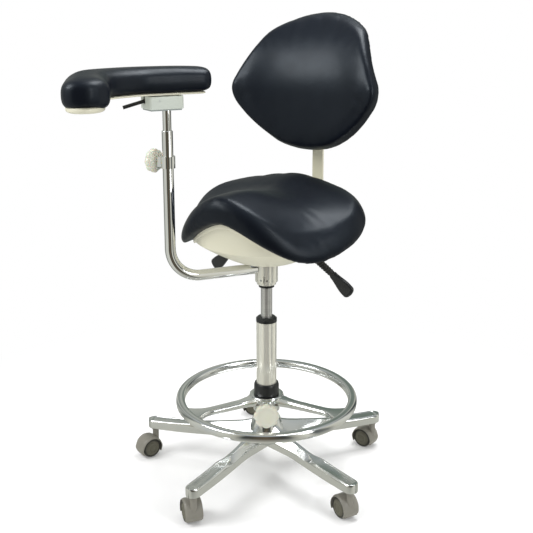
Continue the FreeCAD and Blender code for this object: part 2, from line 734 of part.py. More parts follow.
def saddle_solid(inset, top, bottom):
    """A body under the saddle's outline, its top and bottom at heights from the mid-surface."""
    wires = []
    for span in (-1.0, -0.93, -0.8, -0.5, -0.2, 0.2, 0.5, 0.8, 0.93, 1.0):
        reach = (SEAT_BACK if span > 0 else SEAT_FRONT) - inset
        y = SEAT_CENTRE_Y + span * reach
        half = seat_width(y) - inset * (1 - 0.35 * abs(span))
        across = [half * (step / 4 - 1) for step in range(9)]
        upper = Part.BSplineCurve()
        upper.interpolate(Points=[Vector(x, y, seat_middle(x, y) + top) for x in across])
        lower = Part.BSplineCurve()
        lower.interpolate(Points=[Vector(x, y, seat_middle(x, y) + bottom) for x in reversed(across)])
        ends = upper.toShape(), lower.toShape()
        right = Part.makeLine(ends[0].Vertexes[-1].Point, ends[1].Vertexes[0].Point)
        left = Part.makeLine(ends[1].Vertexes[-1].Point, ends[0].Vertexes[0].Point)
        wires.append(Part.Wire([ends[0], right, ends[1], left]))
    return loft(wires)


def seat_board():
    """The moulded plywood under the foam, with a flat pad for the tilt plate."""
    top = -SEAT_THICK / 2 - 2 * GAP
    board = saddle_solid(BOARD_INSET, top, top - BOARD_THICK)
    pad = block((-60, -70, PLATE_TOP + 0.2), (60, 60, SEAT_CROWN_Z))
    pad = pad.common(saddle_solid(BOARD_INSET, top, -100))
    return board.fuse(pad).cut(seat_bolt_shapes())


def bowl(lift):
    """Everything above the shell's shallow bowl, raised by a wall's thickness for its inside."""
    profile = [(radius, z + lift) for radius, z in BOWL_PROFILE]
    edge = profile[-1][0]
    ceiling = SEAT_CROWN_Z + 50
    return revolved([(0.0, profile[0][1])] + profile + [(edge, ceiling), (0.0, ceiling)])


def seat_shell():
    """The cream moulding under the cushion: a rim along the saddle and a shallow bowl to the collar."""
    top = -SEAT_THICK / 2 - 0.6
    column = saddle_solid(SHELL_INSET, top, -200)
    outer = column.common(bowl(0)).fuse(saddle_solid(SHELL_INSET, top, top - SHELL_RIM))
    wall = SHELL_INSET + SHELL_WALL
    inner_column = saddle_solid(wall, 0, -200)
    inner = inner_column.common(bowl(SHELL_WALL))
    inner = inner.fuse(saddle_solid(wall, 0, top - SHELL_RIM + SHELL_WALL))
    shell = outer.cut(inner).cut(cylinder(NECK_OPENING, 500, 640))
    for side in (1, -1):
        slot = block((62, -17, 545), (160, 17, 616))
        shell = shell.cut(on_side(slot, side))
    shell = shell.cut(block((-39, 20, 540), (39, 135, 625)))
    shell = shell.cut(block((-22, 120, 540), (22, 190, 616)))
    return max(shell.Solids, key=lambda solid: solid.Volume)


# ---------------------------------------------------------------- seat mechanism

def mechanism_bracket():
    floor = block((-BRACKET_HALF, -58, BRACKET_Z), (BRACKET_HALF, 60, BRACKET_Z + BRACKET_THICK))
    hub = cylinder(20, 553, BRACKET_Z + 12)
    outline = ((-58, BRACKET_Z), (92, BRACKET_Z), (92, 592), (40, 596), (6, 622), (-50, 622), (-58, 600))
    body = floor.fuse(hub)
    for x in (-BRACKET_HALF, BRACKET_HALF - CHEEK):
        body = body.fuse(prism(outline, x, x + CHEEK, "YZ"))
    for side in (1, -1):
        for y in (-8.5, 5.5):
            ear = block((LEVER_X - 5, y, BRACKET_Z), (LEVER_X + 5, y + 3, LEVER_Z + 6))
            body = body.fuse(on_side(ear, side))
    body = body.cut(cylinder(CYLINDER_RADIUS, 540, 600))
    body = body.cut(rod((-60, TILT_Y, TILT_Z), (60, TILT_Y, TILT_Z), PIN_RADIUS))
    body = body.cut(rod((-60, BACK_PIVOT_Y, BACK_PIVOT_Z), (60, BACK_PIVOT_Y, BACK_PIVOT_Z), PIN_RADIUS))
    for side in (1, -1):
        body = body.cut(on_side(rod((LEVER_X, -20, LEVER_Z), (LEVER_X, 20, LEVER_Z), LEVER_PIN), side))
        body = body.cut(on_side(block((30, -6.5, LEVER_Z - 9), (40, 6.5, 640)), side))
    return body.removeSplitter()


def lever_y(side):
    return 0.0 if side > 0 else 18.0


def mechanism_pins():
    """The seat's tilt pin, the backrest's hinge pin and the two lever pins."""
    reach = BRACKET_HALF + 3
    pins = [rod((-reach, TILT_Y, TILT_Z), (reach, TILT_Y, TILT_Z), PIN_RADIUS),
            rod((-reach, BACK_PIVOT_Y, BACK_PIVOT_Z), (reach, BACK_PIVOT_Y, BACK_PIVOT_Z), PIN_RADIUS)]
    for side in (1, -1):
        pins.append(on_side(rod((LEVER_X, -9.5, LEVER_Z), (LEVER_X, 9.5, LEVER_Z), LEVER_PIN), side))
    return Part.makeCompound(pins)


def tilt_spring():
    """The coil round the tilt pin that returns the seat to level."""
    length = SPRING_PITCH * SPRING_TURNS
    helix = Part.makeHelix(SPRING_PITCH, length, SPRING_RADIUS)
    ring = Part.Wire([Part.makeCircle(SPRING_WIRE, Vector(SPRING_RADIUS, 0, 0), Vector(0, 1, 0))])
    coil = Part.Wire(helix.Edges).makePipeShell([ring], True, True)
    return moved(turned(coil, 90, axis=(0, 1, 0)), -length / 2, TILT_Y, TILT_Z)


def tilt_plate():
    """The plate that the seat is bolted to, with two ears on the tilt pin."""
    bottom = PLATE_TOP - PLATE_THICK
    plate = block((-62, -72, bottom), (62, 62, PLATE_TOP))
    plate = plate.makeFillet(12.0, [edge for edge in plate.Edges if abs(edge.tangentAt(0).z) > 0.9])
    outline = [
        (TILT_Y - 11, bottom + 1), (TILT_Y - 9, TILT_Z - 5), (TILT_Y - 4, TILT_Z - 10),
        (TILT_Y + 4, TILT_Z - 10), (TILT_Y + 9, TILT_Z - 5), (TILT_Y + 11, bottom + 1),
    ]
    for x in (-29.5, 26.5):
        plate = plate.fuse(prism(outline, x, x + 3, "YZ"))
    plate = plate.cut(rod((-60, TILT_Y, TILT_Z), (60, TILT_Y, TILT_Z), PIN_RADIUS + RUNNING))
    return plate.cut(seat_bolt_shapes())


def seat_bolt_shapes():
    """Four hexagon-headed bolts, up through the plate into the board."""
    bolts = []
    for x in (-48, 48):
        for y in (-52, 44):
            bolt = cylinder(3.0, PLATE_TOP - PLATE_THICK - 1, seat_middle(x, y) - SEAT_THICK / 2 - 4, x, y)
            angles = [math.pi * k / 3 for k in range(6)]
            corners = [(x + 6 * math.cos(angle), y + 6 * math.sin(angle)) for angle in angles]
            bottom = PLATE_TOP - PLATE_THICK
            bolts.append(bolt.fuse(prism(corners, bottom - 4, bottom)))
    return Part.makeCompound(bolts)


def on_side(shape, side):
    """Mirrors a shape drawn for the right lever to the left one."""
    if side > 0:
        return shape
    copy = shape.mirror(Vector(0, 0, 0), Vector(1, 0, 0))
    return moved(copy, 0, lever_y(side), 0)


def lever_point(along, side):
    """A point on the outer, sloping part of a lever, drawn on the right; the left lever is shorter."""
    slope = math.radians(LEVER_DROP)
    return lever_bend(side) + along * math.cos(slope), 0.0, LEVER_Z - along * math.sin(slope)


def lever_bend(side):
    return 112.0 if side > 0 else 54.0


def lever_rod(side):
    """The bent bar from the nose at the cylinder's axis, over its pin and out to the paddle."""
    inner = -BUTTON_RADIUS if side > 0 else 12.0
    bend = lever_point(0, side)
    bar = rod((inner, 0, LEVER_Z), bend, LEVER_ROD)
    bar = bar.fuse(Part.makeSphere(LEVER_ROD, Vector(*bend)))
    bar = bar.fuse(rod(bend, lever_point(LEVER_LENGTH, side), LEVER_ROD))
    bar = bar.fuse(rod((LEVER_X, -5, LEVER_Z), (LEVER_X, 5, LEVER_Z), 5.5))
    bar = bar.cut(rod((LEVER_X, -9, LEVER_Z), (LEVER_X, 9, LEVER_Z), LEVER_PIN + RUNNING))
    return on_side(bar, side)


def lever_boot(side):
    """The ribbed rubber sleeve round the lever's outer part."""
    corners = [(LEVER_ROD, 0)]
    for index in range(BOOT_RIBS):
        base = index * BOOT_PITCH
        crest = 9.5 - index * 0.12
        corners += [(7.0, base + 0.4), (crest, base + 2.2), (crest, base + 3.6), (7.0, base + 5.6)]
    end = BOOT_RIBS * BOOT_PITCH + 0.4
    corners += [(6.5, end), (LEVER_ROD, end)]
    boot = turned(revolved(corners), 90, axis=(0, 1, 0))
    boot = turned(boot, LEVER_DROP, axis=(0, 1, 0))
    start = lever_point(6, side)
    return on_side(moved(boot, *start), side)


def lever_paddle(side):
    """The flat, waisted handle pushed on the lever's end."""
    wires = []
    for along, tall, thick in PADDLE_STATIONS:
        angles = [math.pi * k / 6 for k in range(12)]
        loop = [(along, thick * math.cos(angle), tall * math.sin(angle)) for angle in angles]
        wires.append(smooth_loop(loop))
    paddle = turned(loft(wires), LEVER_DROP + 6, axis=(0, 1, 0))
    paddle = moved(paddle, *lever_point(PADDLE_START, side))
    hole = rod(lever_point(60, side), lever_point(LEVER_LENGTH, side), LEVER_ROD)
    return on_side(paddle.cut(hole), side)


# ---------------------------------------------------------------- backrest

def backrest_bar():
    """A flat bar from the hinge, back under the seat, then straight up behind it."""
    half = BAR_WIDTH / 2
    thick = BAR_THICK / 2
    low = BACK_PIVOT_Z
    outline = [
        (BACK_PIVOT_Y, low - thick), (BAR_Y - 30, low - thick),
        (BAR_Y - 6, low + 5), (BAR_Y + thick, low + 31),
        (BAR_Y + thick, BAR_TOP), (BAR_Y - thick, BAR_TOP),
        (BAR_Y - thick, low + 33), (BAR_Y - 11, low + 11),
        (BAR_Y - 32, low + thick), (BACK_PIVOT_Y, low + thick),
    ]
    bar = prism(outline, -half, half, "YZ")
    eye = rod((-half, BACK_PIVOT_Y, low), (half, BACK_PIVOT_Y, low), 9.0)
    bar = bar.fuse(eye).cut(rod((-40, BACK_PIVOT_Y, low), (40, BACK_PIVOT_Y, low), PIN_RADIUS + RUNNING))
    for step in range(5):
        z = BAR_TOP - 22 - 16 * step
        bar = bar.cut(rod((0, BAR_Y - 9, z), (0, BAR_Y + 9, z), 4.0))
    return bar


def back_edge(x):
    """Lowest and highest point of the backrest's outline at a distance from its middle."""
    share = min(1.0, abs(x) / BACK_HALF_WIDTH)
    rise = BACK_RISE * (1 - share ** 3.25) ** 0.9
    fall = BACK_FALL * (1 - share ** 2) ** 0.75
    return BACK_MIDDLE - fall, BACK_MIDDLE + rise


def back_surface(x, z):
    """Y of the backrest's mid-surface, which wraps round the user and curves back towards its top."""
    flare = BACK_FLARE * max(0.0, z - FLARE_START) ** 2
    return BACK_Y - BACK_WRAP * x * x + BACK_LEAN * (z - BACK_Z) + flare


def backrest_cushion():
    """A pad in the backrest's outline, from a distance in front of its mid-surface to one behind."""
    wires = []
    for span in (-0.995, -0.95, -0.8, -0.5, 0.0, 0.5, 0.8, 0.95, 0.995):
        x = span * BACK_HALF_WIDTH
        low, high = back_edge(x)
        centre = (low + high) / 2
        tall = (high - low) / 2
        end = math.sqrt(1 - abs(span) ** 5)
        points = []
        for step in range(16):
            angle = 2 * math.pi * step / 16
            up = math.copysign(abs(math.sin(angle)) ** 0.6, math.sin(angle)) * tall
            out = math.copysign(abs(math.cos(angle)) ** 0.6, math.cos(angle))
            offset = (BACK_REAR if out > 0 else BACK_FRONT) * out * end
            z = centre + up
            points.append(Vector(x, back_surface(x, z) + offset, z))
        wires.append(smooth_loop(points))
    return loft(wires)


def backrest_plate(inset, near, far):
    """A curved plate in the backrest's outline, between two distances behind its mid-surface."""
    wires = []
    for span in (-1.0, -0.93, -0.75, -0.4, 0.0, 0.4, 0.75, 0.93, 1.0):
        x = span * (BACK_HALF_WIDTH - inset)
        low, high = back_edge(x)
        squeeze = inset * (1 - 0.3 * abs(span))
        heights = [low + squeeze + (high - low - 2 * squeeze) * step / 6 for step in range(7)]
        inner = Part.BSplineCurve()
        inner.interpolate(Points=[Vector(x, back_surface(x, z) + near, z) for z in heights])
        outer = Part.BSplineCurve()
        outer.interpolate(Points=[Vector(x, back_surface(x, z) + far, z) for z in reversed(heights)])
        ends = inner.toShape(), outer.toShape()
        top = Part.makeLine(ends[0].Vertexes[-1].Point, ends[1].Vertexes[0].Point)
        bottom = Part.makeLine(ends[1].Vertexes[-1].Point, ends[0].Vertexes[0].Point)
        wires.append(Part.Wire([ends[0], top, ends[1], bottom]))
    return loft(wires)


def backrest_shell():
    """The moulded cover on the back of the cushion."""
    near = BACK_REAR + BACK_GAP
    shell = backrest_plate(BACK_SHELL_INSET, near, near + BACK_SHELL_THICK)
    return shell.cut(backrest_screws())


def backrest_guide():
    """The sleeve on the shell that holds the bar and slides on it."""
    half = BAR_WIDTH / 2
    near = BACK_REAR + BACK_GAP + BACK_SHELL_THICK + 0.2
    low = back_surface(0, GUIDE_LOW) + near
    high = back_surface(0, GUIDE_HIGH) + near
    outline = [
        (low, GUIDE_LOW), (BAR_Y + 9, GUIDE_LOW), (BAR_Y + 11, GUIDE_LOW + 5),
        (BAR_Y + 11, GUIDE_HIGH - 5), (BAR_Y + 9, GUIDE_HIGH), (high, GUIDE_HIGH),
    ]
    body = prism(outline, -half - 8, half + 8, "YZ")
    gap = BAR_THICK / 2 + GAP
    room = block((-half - GAP, BAR_Y - gap, GUIDE_LOW - 1), (half + GAP, BAR_Y + gap, GUIDE_HIGH + 1))
    return body.cut(room)


def backrest_screws():
    """Four pan-headed screws that hold the shell to the cushion's board."""
    screws = []
    near = BACK_REAR + BACK_GAP
    for x in (-70, 70):
        for z in (890, 990):
            y = back_surface(x, z) + near
            outside = y + BACK_SHELL_THICK
            shank = rod((x, y + 0.5, z), (x, outside + 1, z), 2.5)
            screws.append(shank.fuse(rod((x, outside, z), (x, outside + 3, z), 5.0)))
    return Part.makeCompound(screws)


# ---------------------------------------------------------------- all pieces

def build():
    save(base_star(), "base_star")
    save(Part.makeCompound([caster_stem(x, y) for x, y in stem_places()]), "caster_stems")
    for index in range(LEG_COUNT):
        number = str(index + 1)
        save(placed_caster(caster_housing(), index), "caster_housing_" + number)
        save(placed_caster(caster_wheel(1), index), "caster_wheel_left_" + number)
        save(placed_caster(caster_wheel(-1), index), "caster_wheel_right_" + number)
    save(column_tube(), "column_tube")
    save(column_guide_bush(), "column_guide_bush")
    save(thrust_bearing(), "thrust_bearing")
    save(piston_rod(), "piston_rod")
    save(gas_cylinder(), "gas_cylinder")
    save(valve_button(), "valve_button")
    save(foot_ring(), "foot_ring")
    save(foot_ring_bush(), "foot_ring_bush")
    tip = TUBE_RADIUS + GAP
    save(aimed(clamp_pad(PAD_LENGTH), SPOKE_HEADING, tip, RING_KNOB_Z), "foot_ring_clamp_pad")
    screw = tip + PAD_LENGTH + GAP
    ring_knob = star_knob(RING_KNOB_RADIUS, RING_BOSS + 9 - screw)
    save(aimed(ring_knob, SPOKE_HEADING, screw, RING_KNOB_Z), "foot_ring_knob")
    save(collar_stop_ring(), "collar_stop_ring")
    save(arm_collar(), "arm_collar")
    save(collar_screws(), "collar_screws")
    save(arm_tube(), "arm_tube")
    save(arm_clamp_ring(), "arm_clamp_ring")
    middle = CLAMP_BOTTOM + CLAMP_HEIGHT / 2
    tip = INNER_RADIUS + GAP
    save(aimed(clamp_pad(ARM_PAD_LENGTH), -90, tip, middle, arm_post()), "arm_clamp_pad")
    screw = tip + ARM_PAD_LENGTH + GAP
    arm_knob = star_knob(ARM_KNOB_RADIUS, CLAMP_LUG + 4 - screw)
    save(aimed(arm_knob, -90, screw, middle, arm_post()), "arm_clamp_knob")
    save(arm_inner_tube(), "arm_inner_tube")
    save(arm_head(), "arm_head")
    save(arm_head_plate(), "arm_head_plate")
    save(arm_lever_pin(), "arm_lever_pin")
    save(arm_release_lever(), "arm_release_lever")
    save(arm_pad_base(), "arm_pad_base")
    save(arm_pad(), "arm_pad")
    save(mechanism_bracket(), "mechanism_bracket")
    save(mechanism_pins(), "mechanism_pins")
    save(tilt_spring(), "tilt_spring")
    save(tilt_plate(), "tilt_plate")
    save(seat_bolt_shapes(), "seat_bolts")
    for side, name in ((1, "height_lever"), (-1, "tilt_lever")):
        save(lever_rod(side), name + "_rod")
        save(lever_boot(side), name + "_boot")
        save(lever_paddle(side), name + "_paddle")
    save(seat_board(), "seat_board")
    save(seat_shell(), "seat_shell")
    save(seat_cushion(), "seat_cushion")
    save(backrest_bar(), "backrest_bar")
    save(backrest_guide(), "backrest_guide")
    save(backrest_shell(), "backrest_shell")
    save(backrest_screws(), "backrest_screws")
    save(backrest_cushion(), "backrest_cushion")


build()
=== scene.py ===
import bmesh
import bpy
import json
import math
from mathutils import Matrix, Vector


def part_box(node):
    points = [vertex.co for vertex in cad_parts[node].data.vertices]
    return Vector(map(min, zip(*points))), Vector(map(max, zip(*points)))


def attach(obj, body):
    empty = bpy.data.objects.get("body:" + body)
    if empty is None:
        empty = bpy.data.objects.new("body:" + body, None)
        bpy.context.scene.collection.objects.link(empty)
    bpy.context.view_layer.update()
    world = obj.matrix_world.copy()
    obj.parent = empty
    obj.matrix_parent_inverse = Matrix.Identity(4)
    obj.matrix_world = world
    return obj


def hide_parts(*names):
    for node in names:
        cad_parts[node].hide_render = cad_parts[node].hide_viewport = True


# Dentist saddle stool.  Metres, +Z up, origin on the floor under the column's axis.
# The seat's nose points to -Y, the backrest stands at +Y and the arm support is at -X, -Y.

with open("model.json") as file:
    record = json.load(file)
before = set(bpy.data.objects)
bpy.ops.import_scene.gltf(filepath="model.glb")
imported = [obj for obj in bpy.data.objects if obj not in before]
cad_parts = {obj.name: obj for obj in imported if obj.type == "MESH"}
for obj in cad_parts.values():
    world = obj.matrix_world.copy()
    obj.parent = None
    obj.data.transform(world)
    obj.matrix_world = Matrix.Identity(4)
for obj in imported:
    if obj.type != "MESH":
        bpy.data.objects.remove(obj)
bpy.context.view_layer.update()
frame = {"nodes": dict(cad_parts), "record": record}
NODES = frame["nodes"]


# ---------------------------------------------------------------- small helpers

def ease(low, high, value):
    """0 at low, 1 at high, smooth between."""
    t = min(1.0, max(0.0, (value - low) / (high - low)))
    return t * t * (3 - 2 * t)


def curve(knots, value):
    """A smooth curve through (position, height) knots, flat beyond its ends."""
    if value <= knots[0][0]:
        return knots[0][1]
    if value >= knots[-1][0]:
        return knots[-1][1]
    index = max(i for i in range(len(knots) - 1) if knots[i][0] <= value)
    slopes = [(b[1] - a[1]) / (b[0] - a[0]) for a, b in zip(knots, knots[1:])]
    start = 0.0 if index == 0 else (slopes[index - 1] + slopes[index]) / 2
    end = slopes[index] if index == len(slopes) - 1 else (slopes[index] + slopes[index + 1]) / 2
    width = knots[index + 1][0] - knots[index][0]
    t = (value - knots[index][0]) / width
    low, high = knots[index][1], knots[index + 1][1]
    return ((2 * t ** 3 - 3 * t ** 2 + 1) * low + (t ** 3 - 2 * t ** 2 + t) * width * start
            + (3 * t ** 2 - 2 * t ** 3) * high + (t ** 3 - t ** 2) * width * end)


def signed_power(value, power):
    return math.copysign(abs(value) ** power, value)


def heading(degrees):
    """Unit vector at an angle from -Y towards +X."""
    angle = math.radians(degrees)
    return Vector((math.sin(angle), -math.cos(angle), 0))


def middle(node):
    low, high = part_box(node)
    return (low + high) / 2


def aim(start, along):
    """A matrix that lays local +Z along a direction, from a start point."""
    return Matrix.Translation(start) @ Vector(along).to_track_quat("Z", "Y").to_matrix().to_4x4()


def rounded(corners, radius, steps=4, closed=False):
    """Replaces the corners of an outline by arcs; an open outline keeps its two ends."""
    points = []
    count = len(corners)
    for index, corner in enumerate(corners):
        if not closed and index in (0, count - 1):
            points.append(Vector(corner))
            continue
        here = Vector(corner)
        before = Vector(corners[index - 1]) - here
        after = Vector(corners[(index + 1) % count]) - here
        cut = min(radius, 0.45 * before.length, 0.45 * after.length)
        start = here + before.normalized() * cut
        end = here + after.normalized() * cut
        for step in range(steps + 1):
            t = step / steps
            points.append(start * (1 - t) ** 2 + here * 2 * t * (1 - t) + end * t * t)
    return points


def skin(rings, looped=False, capped=True):
    """Points and faces over rings of equally many points; looped joins the last ring to the first."""
    size = len(rings[0])
    points = [Vector(point) for ring in rings for point in ring]
    faces = []
    for ring in range(len(rings) if looped else len(rings) - 1):
        here = ring * size
        there = (ring + 1) % len(rings) * size
        for step in range(size):
            after = (step + 1) % size
            faces.append((here + step, here + after, there + after, there + step))
    if capped and not looped:
        faces.append(tuple(range(size))[::-1])
        faces.append(tuple(range(len(points) - size, len(points))))
    return points, faces


def lathe(profile, segments=96, looped=False):
    """Turns an outline of (radius, height) about Z; looped closes it for a tube."""
    rings = []
    for step in range(segments):
        angle = 2 * math.pi * step / segments
        rings.append([(p[0] * math.cos(angle), p[0] * math.sin(angle), p[1]) for p in profile])
    size = len(profile)
    points = [Vector(point) for ring in rings for point in ring]
    faces = []
    for ring in range(segments):
        here = ring * size
        there = (ring + 1) % segments * size
        for step in range(size if looped else size - 1):
            after = (step + 1) % size
            faces.append((here + step, there + step, there + after, here + after))
    return points, faces


def turned(outline, radius, steps=4, segments=96):
    """A closed outline of (radius, height), its corners rounded, turned about Z into a ring."""
    return lathe(rounded(outline, radius, steps, closed=True), segments, looped=True)


def placed(shape, matrix):
    points, faces = shape
    return [matrix @ point for point in points], faces


def joined(*shapes):
    points, faces = [], []
    for some_points, some_faces in shapes:
        start = len(points)
        points += some_points
        faces += [tuple(start + index for index in face) for face in some_faces]
    return points, faces


def baked(obj):
    """Applies every modifier of an object to its mesh."""
    graph = bpy.context.evaluated_depsgraph_get()
    mesh = bpy.data.meshes.new_from_object(obj.evaluated_get(graph))
    mesh.name = obj.name
    obj.modifiers.clear()
    obj.data = mesh
    return obj


def plain_object(name, shape):
    """A linked object of bare points and faces."""
    mesh = bpy.data.meshes.new(name)
    mesh.from_pydata([tuple(point) for point in shape[0]], [], shape[1])
    obj = bpy.data.objects.new(name, mesh)
    bpy.context.scene.collection.objects.link(obj)
    return obj


def smoothed(mesh, crease):
    """Smooth shading, with edges sharper than the crease angle in degrees kept."""
    mesh.polygons.foreach_set("use_smooth", [True] * len(mesh.polygons))
    mesh.set_sharp_from_angle(angle=math.radians(crease))


CREASE = 38.0


def mesh_piece(name, shape, material, body, nodes=(), crease=CREASE):
    """A finished, smooth-shaded piece that rides on a body and stands for the named CAD nodes."""
    obj = plain_object(name, shape)
    mesh = obj.data
    work = bmesh.new()
    work.from_mesh(mesh)
    bmesh.ops.remove_doubles(work, verts=work.verts, dist=1e-6)
    bmesh.ops.dissolve_degenerate(work, edges=work.edges, dist=1e-7)
    bmesh.ops.recalc_face_normals(work, faces=work.faces)
    work.to_mesh(mesh)
    work.free()
    mesh.materials.append(material)
    smoothed(mesh, crease)
    mesh.update()
    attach(obj, body)
    if nodes:
        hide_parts(*nodes)
    return obj


def cut_out(obj, shape):
    """Takes a shape out of an object."""
    cutter = plain_object("cutter", shape)
    mesh = cutter.data
    cut = obj.modifiers.new("cut", "BOOLEAN")
    cut.operation = "DIFFERENCE"
    cut.solver = "EXACT"
    cut.object = cutter
    baked(obj)
    bpy.data.objects.remove(cutter)
    bpy.data.meshes.remove(mesh)


def carve(obj, boxes):
    """Cuts boxes, each (low corner, high corner, matrix), out of a piece."""
    for (left, front, floor), (right, back, top), place in boxes:
        corners = [(left, front), (right, front), (right, back), (left, back)]
        box = skin([[(x, y, z) for x, y in corners] for z in (floor, top)])
        cut_out(obj, placed(box, place))
    smoothed(obj.data, CREASE)


def without(shape, cutter):
    """The shape with the cutter's shape taken out of it."""
    obj = plain_object("scratch", shape)
    cut_out(obj, cutter)
    mesh = obj.data
    result = ([vertex.co.copy() for vertex in mesh.vertices],
              [tuple(face.vertices) for face in mesh.polygons])
    bpy.data.objects.remove(obj)
    return result


def polar_shell(outline, upper, lower, rows=36, segments=160):
    """A closed pad inside outline(angle); upper and lower turn (edge point, share) into a point."""
    shares = [math.sin(math.pi / 2 * row / rows) for row in range(1, rows)]
    edge = [outline(2 * math.pi * step / segments) for step in range(segments)]
    rings = [[upper(point, share) for point in edge] for share in shares]
    rings.append([upper(point, 1.0) for point in edge])
    rings += [[lower(point, share) for point in edge] for share in reversed(shares)]
    points, faces = skin(rings, capped=False)
    for ring, centre in ((0, upper(edge[0], 0.0)), (len(rings) - 1, lower(edge[0], 0.0))):
        hub = len(points)
        points.append(Vector(centre))
        for step in range(segments):
            pair = (ring * segments + step, ring * segments + (step + 1) % segments)
            faces.append((hub, *pair) if ring == 0 else (hub, *pair[::-1]))
    return points, faces


def smooth_path(knots, count):
    """Evenly spaced points on a Catmull-Rom curve through the knots."""
    knots = [Vector(knot) for knot in knots]
    ends = [knots[0] * 2 - knots[1]] + knots + [knots[-1] * 2 - knots[-2]]
    dense = []
    per_span = 40
    for index in range(len(knots) - 1):
        a, b, c, d = ends[index:index + 4]
        for step in range(per_span):
            t = step / per_span
            dense.append(0.5 * (2 * b + (c - a) * t + (2 * a - 5 * b + 4 * c - d) * t ** 2
                                + (3 * b - a - 3 * c + d) * t ** 3))
    dense.append(knots[-1])
    lengths = [0.0]
    for before, after in zip(dense, dense[1:]):
        lengths.append(lengths[-1] + (after - before).length)
    path, at = [], 0
    for index in range(count):
        target = lengths[-1] * index / (count - 1)
        while at < len(dense) - 2 and lengths[at + 1] < target:
            at += 1
        share = (target - lengths[at]) / (lengths[at + 1] - lengths[at])
        path.append(dense[at].lerp(dense[at + 1], min(1.0, share)))
    return path, lengths[-1]


# ---------------------------------------------------------------- materials

def wired(tree, kind, inputs, **settings):
    """A new shader node; each of its inputs is given as a value or as another node's socket."""
    node = tree.nodes.new("ShaderNode" + kind)
    for key, value in settings.items():
        setattr(node, key, value)
    for key, value in inputs.items():
        if isinstance(value, bpy.types.NodeSocket):
            tree.links.new(value, node.inputs[key])
        else:
            node.inputs[key].default_value = value
    return node


def mixed_colour(tree, factor, first, second):
    inputs = {"Factor": factor, "A": first, "B": second}
    return wired(tree, "Mix", inputs, data_type="RGBA").outputs["Result"]


def mixed_shader(tree, factor, first, second):
    return wired(tree, "MixShader", {"Fac": factor, 1: first, 2: second}).outputs["Shader"]


class Look:
    """One procedural material: a Principled shader with its own noise, grain and bump nodes."""

    def __init__(self, name, colour, roughness, metallic=0.0, **values):
        self.material = bpy.data.materials.new(name)
        self.material.use_nodes = True
        self.tree = self.material.node_tree
        self.shader = self.tree.nodes["Principled BSDF"]
        self.shader.inputs["Base Color"].default_value = (*colour, 1)
        self.shader.inputs["Roughness"].default_value = roughness
        self.shader.inputs["Metallic"].default_value = metallic
        for key, value in values.items():
            self.shader.inputs[key.replace("_", " ")].default_value = value
        self.material.diffuse_color = (*colour, 1)
        self.colour = colour
        self.roughness = roughness
        self.place = self.tree.nodes.new("ShaderNodeTexCoord").outputs["Object"]
        self.height = None

    def noise(self, scale, detail=3.0, stretch=None):
        """Noise in object coordinates, which a stretch can scale along each axis."""
        place = self.place
        if stretch:
            place = wired(self.tree, "Mapping", {"Scale": stretch, "Vector": place}).outputs["Vector"]
        inputs = {"Scale": scale, "Detail": detail, "Vector": place}
        return wired(self.tree, "TexNoise", inputs).outputs["Fac"]

    def cells(self, scale):
        return wired(self.tree, "TexVoronoi", {"Scale": scale, "Vector": self.place}).outputs["Distance"]

    def spread(self, value, low, high, start=0.3, end=0.7):
        """A pattern's start and end brought to low and high."""
        inputs = {"From Min": start, "From Max": end, "To Min": low, "To Max": high, "Value": value}
        return wired(self.tree, "MapRange", inputs).outputs["Result"]

    def rough(self, value, change):
        """Roughness that varies about its base by a pattern."""
        result = self.spread(value, self.roughness - change, self.roughness + change)
        self.tree.links.new(result, self.shader.inputs["Roughness"])
        return self

    def tint(self, value, other, start=0.3, end=0.7):
        """Colour that drifts from the base to another by a pattern."""
        share = self.spread(value, 0.0, 1.0, start, end)
        result = mixed_colour(self.tree, share, (*self.colour, 1), (*other, 1))
        self.tree.links.new(result, self.shader.inputs["Base Color"])
        return self

    def bump(self, value, distance, strength=1.0):
        """Adds relief; each call stacks on the one before."""
        inputs = {"Distance": distance, "Strength": strength, "Height": value}
        if self.height is not None:
            inputs["Normal"] = self.height
        self.height = wired(self.tree, "Bump", inputs).outputs["Normal"]
        self.tree.links.new(self.height, self.shader.inputs["Normal"])
        return self


def scaled(colour, share):
    return tuple(part * share for part in colour)


def make_leather():
    """Smooth synthetic leather: pebble grain, faint creases and a soft gloss that varies a little."""
    base = (0.0018, 0.0026, 0.0056)
    look = Look("leather_slate", base, 0.42,
                Specular_IOR_Level=0.22, Specular_Tint=(0.72, 0.87, 1.0, 1),
                Coat_Weight=0.13, Coat_Roughness=0.26, Coat_Tint=(0.85, 0.93, 1.0, 1))
    look.tint(look.noise(9.0, 4.0), (0.0030, 0.0042, 0.0085))
    look.rough(look.noise(34.0, 4.0), 0.04)
    look.bump(look.noise(22.0, 3.0), 0.0007, 0.5)
    look.bump(look.cells(760.0), 0.00022, 0.32)
    look.bump(look.noise(1900.0, 2.0), 0.00008, 0.25)
    return look.material


def make_aluminium():
    """Hand-polished casting: bright, with faint polishing marks and slow waves."""
    look = Look("aluminium_polished", (0.83, 0.84, 0.84), 0.13, 1.0)
    look.tint(look.noise(14.0, 3.0), (0.76, 0.78, 0.78))
    look.rough(look.noise(45.0, 5.0), 0.05)
    look.bump(look.noise(16.0, 2.0), 0.0004, 0.15)
    look.bump(look.noise(420.0, 3.0, (1.0, 1.0, 0.25)), 0.00006, 0.3)
    return look.material


def make_chrome():
    look = Look("chrome_bright", (0.87, 0.875, 0.88), 0.045, 1.0)
    look.tint(look.noise(20.0, 3.0), (0.82, 0.83, 0.84))
    look.rough(look.noise(70.0, 5.0), 0.02)
    look.bump(look.noise(12.0, 1.0), 0.0003, 0.10)
    return look.material


